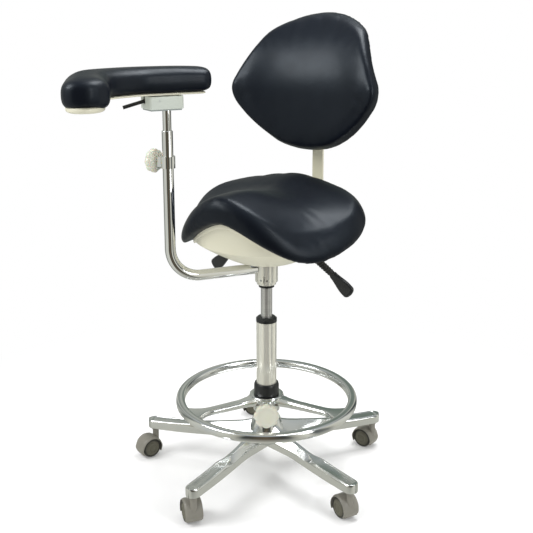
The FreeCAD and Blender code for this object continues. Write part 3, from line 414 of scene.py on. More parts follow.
def make_column_painted_reflection():
    """The column's chrome plate, softer than the tubes'; its warm cream tone is painted reflection of the
    pale studio.
    """
    look = Look("chrome_column_painted_reflection", (0.80, 0.79, 0.71), 0.15, 0.55)
    look.tint(look.noise(20.0, 3.0), (0.76, 0.75, 0.67))
    look.rough(look.noise(70.0, 5.0), 0.03)
    look.bump(look.noise(12.0, 1.0), 0.0004, 0.12)
    return look.material


def make_zinc():
    look = Look("zinc_plate", (0.60, 0.61, 0.62), 0.3, 1.0)
    look.tint(look.cells(90.0), (0.52, 0.54, 0.57), 0.2, 0.8)
    look.rough(look.noise(60.0, 4.0), 0.07)
    look.bump(look.noise(500.0, 3.0), 0.00005, 0.4)
    return look.material


def make_satin_steel():
    """Ground steel with fine rings round its axis."""
    look = Look("steel_satin", (0.62, 0.62, 0.60), 0.33, 0.8)
    look.tint(look.noise(30.0, 4.0, (1.0, 1.0, 12.0)), (0.55, 0.55, 0.54))
    look.rough(look.noise(60.0, 5.0, (1.0, 1.0, 30.0)), 0.06)
    look.bump(look.noise(240.0, 4.0, (0.4, 0.4, 14.0)), 0.00004, 0.5)
    return look.material


def make_cream(name, colour, roughness, peel):
    """Cream paint or moulding with an orange-peel surface and slight yellowing."""
    look = Look(name, colour, roughness, Coat_Weight=0.15, Coat_Roughness=0.2)
    look.tint(look.noise(7.0, 4.0), (colour[0] * 0.95, colour[1] * 0.94, colour[2] * 0.88))
    look.rough(look.noise(55.0, 4.0), 0.05)
    look.bump(look.noise(peel, 3.0), 0.00012, 0.35)
    return look.material


def make_knob():
    """Milky cream plastic that lets a little light through."""
    look = Look("knob_cream", (0.66, 0.66, 0.56), 0.32, Subsurface_Weight=0.20, Subsurface_Scale=0.006,
                Coat_Weight=0.2, Coat_Roughness=0.15)
    look.tint(look.noise(30.0, 3.0), (0.61, 0.61, 0.50))
    look.rough(look.noise(120.0, 3.0), 0.04)
    look.bump(look.noise(340.0, 2.0), 0.00008, 0.3)
    return look.material


def make_black(name, colour, roughness, grain):
    look = Look(name, colour, roughness)
    look.tint(look.noise(40.0, 4.0), scaled(colour, 1.5))
    look.rough(look.noise(90.0, 4.0), 0.06)
    look.bump(look.cells(grain), 0.00012, 0.35)
    return look.material


def make_grey(name, colour, roughness):
    """Moulded caster plastic with fine grain and a dusty drift of tone."""
    look = Look(name, colour, roughness)
    look.tint(look.noise(26.0, 5.0), scaled(colour, 0.84))
    look.rough(look.noise(70.0, 4.0), 0.06)
    look.bump(look.cells(900.0), 0.0001, 0.3)
    return look.material


def make_brass():
    look = Look("brass_turned", (0.72, 0.56, 0.28), 0.25, 1.0)
    look.rough(look.noise(200.0, 3.0), 0.06)
    look.bump(look.noise(600.0, 2.0), 0.00004, 0.4)
    return look.material


def make_plywood():
    """Sanded birch ply with long grain."""
    look = Look("plywood_birch", (0.60, 0.44, 0.27), 0.6)
    look.tint(look.noise(60.0, 5.0, (1.0, 0.06, 3.0)), (0.45, 0.31, 0.18))
    look.rough(look.noise(80.0, 3.0), 0.07)
    look.bump(look.noise(160.0, 4.0, (1.0, 0.08, 1.0)), 0.0002, 0.5)
    return look.material


CREAM = (0.66, 0.645, 0.52)
MATERIALS = {
    "polished_aluminium": make_aluminium(),
    "chrome": make_chrome(),
    "zinc_steel": make_zinc(),
    "satin_steel": make_satin_steel(),
    "cream_paint": make_cream("paint_cream", CREAM, 0.34, 420.0),
    "cream_plastic": make_cream("plastic_cream", CREAM, 0.4, 620.0),
    "grey_plate": make_grey("paint_grey_green", (0.30, 0.34, 0.33), 0.4),
    "black_plastic": make_black("plastic_black", (0.008, 0.009, 0.010), 0.34, 700.0),
    "black_rubber": make_black("rubber_black", (0.013, 0.013, 0.013), 0.6, 900.0),
    "brass": make_brass(),
    "plywood": make_plywood(),
    "upholstery": make_leather(),
    "caster_grey": make_grey("caster_shell_grey", (0.235, 0.225, 0.190), 0.4),
    "wheel_grey": make_grey("caster_wheel_olive", (0.105, 0.100, 0.070), 0.46),
}
KNOB = make_knob()
# Column plate whose cream tone is painted reflection of the pale studio.
COLUMN_PAINTED_REFLECTION = make_column_painted_reflection()
TYRE = make_grey("caster_tyre_dark", (0.035, 0.034, 0.028), 0.5)
HEAD_PAINT = make_cream("paint_pale_green", (0.60, 0.65, 0.60), 0.38, 420.0)


CAD_CREASE = 30.0


def finish_cad_nodes():
    """Gives every CAD node the material of its own slot."""
    slots = {part["node"]: part["material_slot"] for part in frame["record"]["subparts"]}
    for name, node in NODES.items():
        node.data.materials.clear()
        node.data.materials.append(MATERIALS[slots[name]])
        smoothed(node.data, CAD_CREASE)
    # The column tube and the arm collar take the column plate, whose cream tone is painted reflection.
    for name in ("column_tube", "arm_collar"):
        NODES[name].data.materials[0] = COLUMN_PAINTED_REFLECTION


finish_cad_nodes()


# ---------------------------------------------------------------- upholstery

CLOTH_FRAMES = 20
CLOTH_PRESSURE = 4.0
CLOTH_STRETCH = 40
CLOTH_BEND = 6
RELAX_FACTOR = 0.5
RELAX_PASSES = 14


def inflated(obj, voxel, limit):
    """Remeshes a pad and lets Cloth fill it like stuffed leather, with each point's travel capped."""
    remesh = obj.modifiers.new("remesh", "REMESH")
    remesh.mode = "VOXEL"
    remesh.voxel_size = voxel
    baked(obj)
    rest = [vertex.co.copy() for vertex in obj.data.vertices]
    cloth = obj.modifiers.new("cloth", "CLOTH")
    cloth.settings.use_pressure = True
    cloth.settings.uniform_pressure_force = CLOTH_PRESSURE
    cloth.settings.tension_stiffness = CLOTH_STRETCH
    cloth.settings.compression_stiffness = CLOTH_STRETCH
    cloth.settings.bending_stiffness = CLOTH_BEND
    cloth.settings.effector_weights.gravity = 0
    cloth.point_cache.frame_start = 1
    cloth.point_cache.frame_end = CLOTH_FRAMES
    for number in range(1, CLOTH_FRAMES + 1):
        bpy.context.scene.frame_set(number)
        bpy.context.evaluated_depsgraph_get()
    baked(obj)
    bpy.context.scene.frame_set(1)
    for vertex, start in zip(obj.data.vertices, rest):
        travel = vertex.co - start
        if travel.length > limit:
            vertex.co = start + travel * (limit / travel.length)
    relax = obj.modifiers.new("relax", "SMOOTH")
    relax.factor = RELAX_FACTOR
    relax.iterations = RELAX_PASSES
    rise = obj.modifiers.new("rise", "SUBSURF")
    rise.levels = rise.render_levels = 1
    return baked(obj)


PAD_VOXEL = 0.0045
SOFT_CREASE = 180.0       # no sharp edges
SEAT_CENTRE_Y = -0.021
SEAT_CENTRE = Vector((0, SEAT_CENTRE_Y, 0))
SEAT_TRAVEL = 0.003       # how far the filling may carry a point
SEAT_FRONT = 0.1826
SEAT_BACK = 0.1922
SEAT_HALF_WIDTH = 0.236
SEAT_TAPER = 0.33
SEAT_CROWN_Z = 0.7065
SEAT_UPPER = (            # share of the way out, height above the mid-surface
    (0.0, 0.0310), (0.84, 0.0310), (0.885, 0.0303), (0.91, 0.0275), (0.935, 0.0222), (0.965, 0.0120),
    (0.985, 0.0025), (1.0, -0.0100),
)
SEAT_LOWER = ((0.0, -0.0312), (0.93, -0.0312), (0.965, -0.0285), (0.985, -0.0225), (1.0, -0.0100))
SEAT_UNDER = -0.0326
SEAT_SWELL = 0.0015       # how much smaller a pad starts than it ends, all round


def seat_middle(x, y):
    """Height of the cushion's mid-surface: wings droop most at the front, the middle is dipped."""
    droop = 0.034 + 0.0912 * (1 - ease(-0.160, 0.100, y))
    dip = 0.020 * math.exp(-((y - 0.025) / 0.085) ** 2) * math.exp(-(x / 0.150) ** 2)
    rise = 0.0087 * ease(0.020, 0.190, y)
    share = ((x / 0.200) ** 2 + 0.0144) ** 0.685 - 0.0548
    return SEAT_CROWN_Z - dip + rise - 1.05 * droop * share


def seat_outline(angle):
    """A point of the saddle's edge, seen from above."""
    span = signed_power(math.sin(angle), 0.52)
    reach = SEAT_BACK if span > 0 else SEAT_FRONT
    y = SEAT_CENTRE_Y + span * (reach - SEAT_SWELL)
    taper = 1 - SEAT_TAPER * (1 - ease(-0.190, 0.060, y))
    return Vector((signed_power(math.cos(angle), 0.98) * (SEAT_HALF_WIDTH - SEAT_SWELL) * taper, y, 0))


def above_middle(edge, share, height):
    """A point at a share of the way out to the edge and a height above the mid-surface."""
    at = SEAT_CENTRE.lerp(edge, share)
    return Vector((at.x, at.y, seat_middle(at.x, at.y) + height))


def seat_point(edge, share, side):
    """A point of the cushion's top, side 1, or of its underside, side -1."""
    return above_middle(edge, share, curve(SEAT_UPPER if side > 0 else SEAT_LOWER, share))


def make_seat():
    shape = polar_shell(seat_outline, lambda edge, share: seat_point(edge, share, 1),
                        lambda edge, share: seat_point(edge, share, -1))
    seat = mesh_piece("seat_upholstery", shape, MATERIALS["upholstery"], "seat",
                      crease=SOFT_CREASE)
    inflated(seat, PAD_VOXEL, SEAT_TRAVEL)
    finish_soft(seat, "seat_cushion")


BOWL = ((0.043, 0.5485), (0.075, 0.5560), (0.118, 0.5760), (0.165, 0.6030), (0.215, 0.6400))
SHELL_INSET = 0.028
SHELL_WALL = 0.0035
SHELL_SLICES = 160


def inset_edge(angle, inset):
    """A point of the saddle's outline, moved in towards its centre."""
    edge = seat_outline(angle)
    return edge + (SEAT_CENTRE - edge).normalized() * inset


def shell_section(angle):
    """A closed slice of the shell from its rim in to the neck and back along its inside."""
    rim = inset_edge(angle, SHELL_INSET)
    neck = rim.normalized() * BOWL[0][0]
    inward = (neck - rim).normalized()

    def under(at):
        return seat_middle(at.x, at.y) + SEAT_UNDER

    outer = [Vector((*(rim + inward * step).xy, under(rim + inward * step) - drop))
             for step, drop in ((0.0, 0.0006), (0.0002, 0.005), (0.0012, 0.0085), (0.0035, 0.0105))]
    start = rim + inward * 0.006
    for step in range(33):
        at = start.lerp(neck, step / 32)
        outer.append(Vector((at.x, at.y, min(curve(BOWL, at.xy.length), under(at) - 0.011))))
    inner = [point + Vector((0, 0, SHELL_WALL)) for point in reversed(outer[5:])]
    lip = rim + inward * SHELL_WALL
    inner.append(Vector((lip.x, lip.y, under(lip) - 0.005)))
    inner.append(Vector((lip.x, lip.y, under(lip) - 0.0006)))
    return outer + inner


def make_seat_shell():
    """The cream moulding under the saddle, with slots for the two levers and the backrest's bar."""
    rings = [shell_section(2 * math.pi * step / SHELL_SLICES) for step in range(SHELL_SLICES)]
    shell = mesh_piece("seat_shell_moulding", skin(rings, looped=True), MATERIALS["cream_plastic"],
                       "seat", ["seat_shell"])
    still = Matrix.Identity(4)
    carve(shell, (((0.062, -0.017, 0.530), (0.160, 0.017, 0.616), still),
                  ((-0.160, 0.001, 0.530), (-0.062, 0.035, 0.616), still),
                  ((-0.039, 0.020, 0.530), (0.039, 0.135, 0.625), still),
                  ((-0.022, 0.120, 0.530), (0.022, 0.190, 0.616), still)))


BOARD_INSET = 0.052
BOARD_TOP = -0.0330
BOARD_UNDER = -0.0388
PLATE_REST = 0.6352        # the underside where the board sits on the tilt plate


def make_seat_board():
    """The moulded plywood under the foam, kept well inside the shell's rim."""
    def under(edge, share):
        at = above_middle(edge, share, BOARD_UNDER)
        on_plate = ease(0.075, 0.055, abs(at.x)) * ease(0.085, 0.065, abs(at.y + 0.005))
        at.z += (min(at.z, PLATE_REST) - at.z) * on_plate
        return at

    shape = polar_shell(lambda angle: inset_edge(angle, BOARD_INSET),
                        lambda edge, share: above_middle(edge, share, BOARD_TOP), under, segments=120)
    mesh_piece("seat_board_ply", shape, MATERIALS["plywood"], "seat", ["seat_board"])


def finish_soft(obj, node):
    """Leather on a filled pad, which stands for a CAD cushion."""
    mesh = obj.data
    mesh.materials.clear()
    mesh.materials.append(MATERIALS["upholstery"])
    mesh.polygons.foreach_set("use_smooth", [True] * len(mesh.polygons))
    mesh.update()
    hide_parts(node)


BACK_Y = 0.211
BACK_CENTRE_Z = 0.940
BACK_EDGE = (             # degrees above level, reach from the centre
    (-116.7, 0.1534), (-90.0, 0.1475), (-63.3, 0.1534), (-36.7, 0.1658), (-17.2, 0.1863),
    (-5.1, 0.2038), (1.6, 0.2091), (5.5, 0.2090), (12.3, 0.2026), (25.4, 0.1959), (37.0, 0.1992),
    (47.6, 0.2050), (62.4, 0.2008), (74.0, 0.1985), (90.0, 0.1970), (106.0, 0.1985),
)
BACK_FRONT = (            # share of the way out, depth ahead of the mid-surface
    (0.0, 0.0375), (0.55, 0.0362), (0.88, 0.0352), (0.93, 0.0335), (0.955, 0.0295), (0.975, 0.0215),
    (0.99, 0.0110), (1.0, 0.0),
)
BACK_REAR = 0.0135
BACK_SWELL = 0.0015
BACK_TRAVEL = 0.0025


def back_surface(x, z):
    """Y of the backrest's mid-surface, which wraps round the user and curves back at its top."""
    return BACK_Y - 1.1 * x * x + 0.03 * (z - 0.945) + 2.1 * max(0.0, z - 0.935) ** 2


def back_outline(angle):
    """A point of the backrest's edge: x and height above its centre."""
    cos, sin = math.cos(angle), math.sin(angle)
    reach = curve(BACK_EDGE, math.degrees(math.asin(max(-1.0, min(1.0, sin))))) - BACK_SWELL
    return Vector((cos * reach, 0, sin * reach))


def behind_middle(edge, share, depth):
    """A point at a share of the way out to the edge and a depth behind the mid-surface."""
    x, z = edge.x * share, BACK_CENTRE_Z + edge.z * share
    return Vector((x, back_surface(x, z) + depth, z))


def back_front(edge, share):
    return behind_middle(edge, share, -curve(BACK_FRONT, share))


def back_rear(edge, share):
    depth = (BACK_REAR - BACK_SWELL) * math.sqrt(max(0.0, 1 - share ** 8))
    return behind_middle(edge, share, depth)


def make_backrest():
    shape = polar_shell(back_outline, back_front, back_rear)
    back = mesh_piece("backrest_upholstery", shape, MATERIALS["upholstery"], "backrest",
                      crease=SOFT_CREASE)
    inflated(back, PAD_VOXEL, BACK_TRAVEL)
    finish_soft(back, "backrest_cushion")


REAR_INSET = 0.030
REAR_FRONT = 0.0156
REAR_BACK = ((0.0, 0.0216), (0.94, 0.0215), (0.97, 0.0207), (0.988, 0.0192), (1.0, 0.0170))


def rear_outline(angle):
    edge = back_outline(angle)
    return edge * (1 - REAR_INSET / edge.length)


def make_backrest_shell():
    """The cream moulding behind the backrest, well in from its edge."""
    shape = polar_shell(rear_outline, lambda edge, share: behind_middle(edge, share, REAR_FRONT),
                        lambda edge, share: behind_middle(edge, share, curve(REAR_BACK, share)))
    mesh_piece("backrest_shell_moulding", shape, MATERIALS["cream_plastic"], "backrest",
               ["backrest_shell"])


PAD_ROUTE = ((-0.090, -0.103), (-0.100, -0.123), (-0.138, -0.199), (-0.172, -0.285),
             (-0.168, -0.392), (-0.105, -0.477), (-0.076, -0.502))
PAD_LOW = 0.9625
PAD_HIGH = 1.0155
PAD_DROP = 0.0155
ARM_VOXEL = 0.004
ARM_TRAVEL = 0.003


def pad_rings(half_width, low, high, blunt, powers, drop, skip=0, stations=64, segments=48):
    """Rings of a bar along the arm pad's route; its outer end swells and hangs lower by drop.

    blunt is how far its inner and outer ends take to reach full size, powers shape its upper and
    lower half, and skip leaves out the first stations.
    """
    path, length = smooth_path([(x, y, 0) for x, y in PAD_ROUTE], stations)
    rings = []
    trimmed = length * skip / (stations - 1)
    for index in range(skip, stations):
        along = (path[min(index + 1, stations - 1)] - path[max(index - 1, 0)]).normalized()
        side = Vector((-along.y, along.x, 0))
        out = length * index / (stations - 1)
        inner_end = min(1.0, (out - trimmed + 0.0004) / blunt[0])
        outer_end = min(1.0, (length - out + 0.0004) / blunt[1])
        full = ((1 - (1 - inner_end) ** 2.6) * (1 - (1 - outer_end) ** 2.3)) ** 0.5
        bulb = ease(0.66 * length, 0.90 * length, out)
        half = half_width * (1 - 0.05 * (1 - bulb)) * full
        floor, top = low - drop * bulb, high - 0.35 * drop * bulb
        tall = (top - floor) / 2 * (0.35 + 0.65 * full)
        centre = path[index] + Vector((0, 0, (top + floor) / 2))
        ring = []
        for step in range(segments):
            angle = 2 * math.pi * step / segments
            power = powers[0] if math.sin(angle) > 0 else powers[1]
            across = signed_power(math.cos(angle), power) * half
            up = signed_power(math.sin(angle), power) * tall
            ring.append(centre + side * across + Vector((0, 0, up)))
        rings.append(ring)
    return rings


def make_arm_pad():
    shape = skin(pad_rings(0.0475, PAD_LOW, PAD_HIGH, (0.030, 0.048), (0.74, 0.50), PAD_DROP))
    pad = mesh_piece("arm_pad_upholstery", shape, MATERIALS["upholstery"], "arm_head",
                     crease=SOFT_CREASE)
    inflated(pad, ARM_VOXEL, ARM_TRAVEL)
    finish_soft(pad, "arm_pad")


def make_arm_pad_tray():
    """The cream tray screwed under the pad, with the block that drops into the head."""
    tray = skin(pad_rings(0.0385, 0.9562, 0.9624, (0.024, 0.066), (0.5, 0.66), PAD_DROP, 2))
    corners = [(-0.020, -0.002), (0.020, -0.002), (0.020, 0.024), (-0.020, 0.024)]
    corners = rounded(corners, 0.004, closed=True)
    block = skin([[(x, y, z) for x, y in corners] for z in (0.948, 0.958)])
    mesh_piece("arm_pad_tray", joined(tray, placed(block, ARM_TURN)), MATERIALS["cream_plastic"],
               "arm_head", ["arm_pad_base"], crease=50.0)


ARM_POST = Vector((*middle("arm_inner_tube").xy, 0))
HEAD_HEADING = -27.0
ARM_TURN = Matrix.Translation(ARM_POST) @ Matrix.Rotation(math.radians(HEAD_HEADING), 4, "Z")

make_seat()
make_seat_shell()
make_seat_board()
make_backrest()
make_backrest_shell()
make_arm_pad()
make_arm_pad_tray()


# ---------------------------------------------------------------- base and casters

STEM_REACH = 0.302
TIP_RADIUS = 0.0175
LEG_COUNT = 5
CHANNEL_WALL = 0.0045
HUB_REACH = 0.015
LEG_SHOULDER = (          # distance out, height
    (0.020, 0.1040), (0.110, 0.0985), (0.175, 0.0950), (0.230, 0.0940), (0.300, 0.0935),
)
LEG_RIDGE = (             # distance out, height
    (0.015, 0.1340), (0.060, 0.1230), (0.110, 0.1145), (0.160, 0.1070), (0.200, 0.1012), (0.240, 0.0985),
    (0.302, 0.0970),
)


def leg_section(out):
    """A leg's half width, floor, shoulder, ridge, ridge half width and channel roof."""
    half = 0.030 - 0.012 * ease(0.020, 0.130, out) - 0.0005 * ease(0.130, 0.280, out)
    if out > STEM_REACH:
        half = math.sqrt(max(1e-8, TIP_RADIUS ** 2 - (out - STEM_REACH) ** 2))
    floor = 0.084 - 0.009 * ease(0.024, 0.260, out)
    shoulder = curve(LEG_SHOULDER, out)
    ridge = max(curve(LEG_RIDGE, out), shoulder + 0.0022)
    flat = 0.0045 + (half - 0.0072) * ease(0.160, 0.200, out)
    flat = min(flat, max(0.0004, half - 0.0027))
    roof = floor + 0.0004 + 0.012 * ease(0.060, 0.090, out) * (1 - ease(0.262, 0.280, out))
    return half, floor, shoulder, ridge, flat, roof


def leg_ring(out):
    half, floor, shoulder, ridge, flat, roof = leg_section(out)
    inner = max(half - CHANNEL_WALL, half * 0.4)
    dent = 0.0011 * ease(0.190, 0.208, out) * (1 - ease(0.303, 0.310, out))
    lip = max(flat * 0.5, flat - 0.0032)
    right = [(inner - 0.001, roof), (inner, floor), (half, floor), (half, shoulder), (flat, ridge),
             (lip, ridge), (lip - 0.0007, ridge - dent)]
    outline = right + [(-y, z) for y, z in reversed(right)]
    return [Vector((out, p[0], p[1])) for p in rounded(outline, 0.0014, 3, closed=True)]


def make_base():
    """The five-star casting: a turned hub and five ridged legs that end in flat round tips."""
    outs = [HUB_REACH + (STEM_REACH - HUB_REACH) * step / 44 for step in range(45)]
    outs += [STEM_REACH + TIP_RADIUS * math.sin(math.pi / 2 * step / 10) for step in range(1, 11)]
    leg = skin([leg_ring(out) for out in outs])
    hub = [(0.0195, 0.0785), (0.040, 0.0785), (0.0425, 0.086), (0.0425, 0.116), (0.0385, 0.128),
           (0.0345, 0.1415), (0.0252, 0.1415), (0.0252, 0.0845), (0.0195, 0.0845)]
    parts = [turned(hub, 0.003)]
    boss = [(0.0, 0.0785), (0.0, 0.0746), (0.0125, 0.0746), (0.0138, 0.0756), (0.0138, 0.0785)]
    for index in range(LEG_COUNT):
        turn = Matrix.Rotation(2 * math.pi * index / LEG_COUNT - math.pi / 2, 4, "Z")
        parts.append(placed(leg, turn))
        parts.append(placed(lathe(boss, 32), turn @ Matrix.Translation((STEM_REACH, 0, 0))))
    mesh_piece("five_star_base", joined(*parts), MATERIALS["polished_aluminium"], "base",
               ["base_star"], crease=42.0)


CASTER_TRAIL = 0.021
WHEEL_RADIUS = 0.025
AXLE = Matrix.Translation((CASTER_TRAIL, 0, WHEEL_RADIUS))
HOOD_RADIUS = 0.0296
HOOD_WALL = 0.0024
HOOD_HALF_WIDTH = 0.0210
HOOD_LOW = -28.0          # degrees round the axle, from the trailing side's lower edge
HOOD_HIGH = 208.0         # over the top to the lower edge below the stem


def hood_section(angle):
    """One closed slice of the hood at an angle round the axle; +X is the trailing side."""
    flare = 0.0016 * (1 - ease(0.0, 0.35, abs(math.sin(angle))))
    outer, inner, half = HOOD_RADIUS + flare, HOOD_RADIUS - HOOD_WALL, HOOD_HALF_WIDTH
    outline = [(inner, -half), (outer - 0.004, -half), (outer, -half + 0.004), (outer, half - 0.004),
               (outer - 0.004, half), (inner, half), (inner, half - 0.0012), (inner, -half + 0.0012)]
    return [Vector((CASTER_TRAIL + r * math.cos(angle), y, WHEEL_RADIUS + r * math.sin(angle)))
            for r, y in rounded(outline, 0.0022, 3, closed=True)]


def hood_angles(steps):
    """Evenly spaced angles over the hood's span."""
    low, high = math.radians(HOOD_LOW), math.radians(HOOD_HIGH)
    return [low + (high - low) * step / steps for step in range(steps + 1)]


def caster_hood():
    """The hood over both wheels, the neck on the stem, the web between the wheels and the axle."""
    hood = skin([hood_section(angle) for angle in hood_angles(44)])
    neck = turned([(0.0056, 0.034), (0.0079, 0.034), (0.0079, 0.0662), (0.0094, 0.0674),
                   (0.0094, 0.0730), (0.0086, 0.0741), (0.0056, 0.0741)], 0.001, 3, 48)
    reach = HOOD_RADIUS - 0.001
    web = skin([[(CASTER_TRAIL + reach * math.cos(angle), y, WHEEL_RADIUS + reach * math.sin(angle))
                 for angle in hood_angles(24)] for y in (-0.0045, 0.0045)])
    axle = lathe([(0.0, -0.0165), (0.003, -0.0165), (0.003, 0.0165), (0.0, 0.0165)], 24)
    turn = AXLE @ Matrix.Rotation(math.pi / 2, 4, "X")
    return joined(hood, neck, web, placed(axle, turn))


WHEEL_INNER = 0.0056
WHEEL_OUTER = 0.0195
DISC_RADIUS = WHEEL_RADIUS - 0.0052


def tyre_shape():
    """The tread and its side wall; the axle is Z, and Z is 0 at the caster's mid-plane."""
    inner, outer, radius = WHEEL_INNER, WHEEL_OUTER, WHEEL_RADIUS
    return turned([(DISC_RADIUS, inner), (radius - 0.002, inner), (radius, inner + 0.002),
                   (radius, outer - 0.0045), (radius - 0.0022, outer - 0.0012),
                   (radius - 0.0040, outer - 0.0004), (DISC_RADIUS, outer - 0.0012)], 0.0009, 3, 72)


def disc_shape():
    """The wheel's body: a dished face with a raised rim and a hub cap."""
    inner, outer, radius = WHEEL_INNER, WHEEL_OUTER, DISC_RADIUS
    outline = [(0.0031, inner + 0.0005), (radius, inner + 0.0005), (radius, outer - 0.0018),
               (radius - 0.0012, outer - 0.0018), (radius - 0.0022, outer - 0.0002),
               (0.0115, outer + 0.0009), (0.0100, outer - 0.0006), (0.0068, outer - 0.0004),
               (0.0, outer + 0.0006)]
    return lathe(rounded(outline, 0.0008, 3), 72)


def make_casters():
    hood, tyre, disc = caster_hood(), tyre_shape(), disc_shape()
    for index in range(LEG_COUNT):
        number = str(index + 1)
        way = heading(360 / LEG_COUNT * index) * STEM_REACH
        wheels = (middle("caster_wheel_left_" + number) + middle("caster_wheel_right_" + number)) / 2
        trail = (wheels - way).to_2d()
        turn = Matrix.Translation(way) @ Matrix.Rotation(math.atan2(trail.y, trail.x), 4, "Z")
        mesh_piece("caster_hood_" + number, placed(hood, turn), MATERIALS["caster_grey"],
                   "caster_" + number, ["caster_housing_" + number], crease=40.0)
        for side, name in ((-math.pi / 2, "left_" + number), (math.pi / 2, "right_" + number)):
            place = turn @ AXLE @ Matrix.Rotation(side, 4, "X")
            mesh_piece("caster_disc_" + name, placed(disc, place), MATERIALS["wheel_grey"],
                       "wheel_" + name, ["caster_wheel_" + name], crease=40.0)
            mesh_piece("caster_tyre_" + name, placed(tyre, place), TYRE, "wheel_" + name,
                       crease=40.0)


make_base()
make_casters()


# ---------------------------------------------------------------- foot ring

RING_OUTER = 0.2254
RING_WIDTH = 0.022
RING_HEIGHT = 0.021
RING_TOP = 0.205
RING_INNER = RING_OUTER - RING_WIDTH
SPOKE_HEADING = 33.0
SPOKE_START = 0.030
SPOKE_END = 0.2075


def spoke_ring(out):
    """A slice of a spoke, which flares where it runs into the hub and the hoop."""
    half = 0.0130 + 0.0060 * (1 - ease(0.030, 0.075, out))
    half += 0.0230 * max(0.0, (out - 0.150) / (RING_INNER - 0.150)) ** 2.2
    floor = 0.184 + 0.004 * ease(0.030, 0.200, out)
    shoulder = 0.1955 + 0.001 * ease(0.030, 0.200, out)
    ridge = 0.2035 - 0.0025 * ease(0.030, 0.090, out)
    flat = half - 0.0045
    outline = [(-half + 0.002, floor), (half - 0.002, floor), (half, shoulder), (flat, ridge),
               (-flat, ridge), (-half, shoulder)]
    return [Vector((out, p[0], p[1])) for p in rounded(outline, 0.0022, 3, closed=True)]


def make_foot_ring():
    """The cast hoop with its three flared spokes and its hub."""
    wide, tall = RING_WIDTH / 2, RING_HEIGHT / 2
    section = []
    for step in range(32):
        angle = 2 * math.pi * step / 32
        section.append((RING_OUTER - wide + wide * signed_power(math.cos(angle), 0.60),
                        RING_TOP - tall + tall * signed_power(math.sin(angle), 0.62)))
    parts = [lathe(section, 192, looped=True)]
    hub = [(0.0255, 0.163), (0.0315, 0.163), (0.033, 0.1645), (0.033, 0.190), (0.0385, 0.1965),
           (0.043, 0.1985), (0.043, 0.2035), (0.0405, 0.2060), (0.0292, 0.2060), (0.0292, 0.192),
           (0.0255, 0.192)]
    to_knob = aim((0, 0, KNOB_Z), heading(SPOKE_HEADING))
    pad_bore = lathe([(0.0, 0.022), (0.0043, 0.022), (0.0043, 0.040), (0.0, 0.040)], 40)
    parts.append(without(turned(hub, 0.0016), placed(pad_bore, to_knob)))
    outs = [SPOKE_START + (SPOKE_END - SPOKE_START) * step / 50 for step in range(51)]
    spoke = skin([spoke_ring(out) for out in outs])
    for index in range(3):
        degrees = SPOKE_HEADING - 30 + 120 * index
        parts.append(placed(spoke, Matrix.Rotation(math.radians(degrees), 4, "Z")))
    boss = [(0.0043, 0.030), (0.0105, 0.030), (0.0105, 0.0545), (0.0095, 0.056), (0.0043, 0.056)]
    parts.append(placed(lathe(boss, 40, looped=True), to_knob))
    mesh_piece("foot_ring_casting", joined(*parts), MATERIALS["polished_aluminium"], "foot_ring",
               ["foot_ring"], crease=42.0)
    bush = turned([(0.0251, 0.1924), (0.0289, 0.1924), (0.0289, 0.2062), (0.0312, 0.2064),
                   (0.0312, 0.2300), (0.0290, 0.2358), (0.0262, 0.2362), (0.0251, 0.2350)], 0.0012, 3)
    mesh_piece("foot_ring_sleeve", bush, MATERIALS["black_plastic"], "foot_ring_carrier",
               ["foot_ring_bush"])


KNOB_Z = 0.180
KNOB_LOBES = 8


def star_knob(radius, neck, tip, segments=128):
    """A lobed knob with a domed, dished face, along local +Z, on its screw from the tip."""
    profile = [(0.30, 0.0), (0.52, 0.0004), (0.80, 0.0048), (0.93, 0.0064), (1.0, 0.0090), (1.0, 0.0150),
               (0.955, 0.0180), (0.88, 0.0198), (0.74, 0.0205), (0.66, 0.0198), (0.60, 0.0192),
               (0.30, 0.0197), (0.02, 0.0199)]
    rings = []
    for share, height in profile:
        lobes = 0.075 * ease(0.45, 0.95, share)
        ring = []
        for step in range(segments):
            angle = 2 * math.pi * step / segments
            swell = 1 - lobes * (1 - abs(math.cos(angle * KNOB_LOBES / 2)) ** 0.75) * 1.5
            reach = radius * share * swell
            ring.append((reach * math.cos(angle), reach * math.sin(angle), neck + height))
        rings.append(ring)
    screw = lathe([(0.0, tip), (0.0035, tip), (0.004, tip + 0.0006), (0.004, neck + 0.002),
                   (0.0, neck + 0.002)], 32)
    return joined(skin(rings), screw)


def make_knobs():
    """The ring's and the arm's clamp knobs stand where their CAD screws begin."""
    arm_centre = ARM_POST + Vector((0, 0, middle("arm_clamp_ring").z))
    for node, body, centre, way, radius, neck, tip in (
            ("foot_ring_knob", "foot_ring_knob", (0, 0, KNOB_Z), heading(SPOKE_HEADING), 0.031, 0.065,
             0.0308),
            ("arm_clamp_knob", "arm_knob", arm_centre, Vector((-1, 0, 0)), 0.0275, 0.028, 0.01352)):
        shape = placed(star_knob(radius, neck, tip), aim(centre, way))
        mesh_piece(node + "_moulding", shape, KNOB, body, [node], crease=50.0)


make_foot_ring()
make_knobs()


# ---------------------------------------------------------------- arm support tubes and head

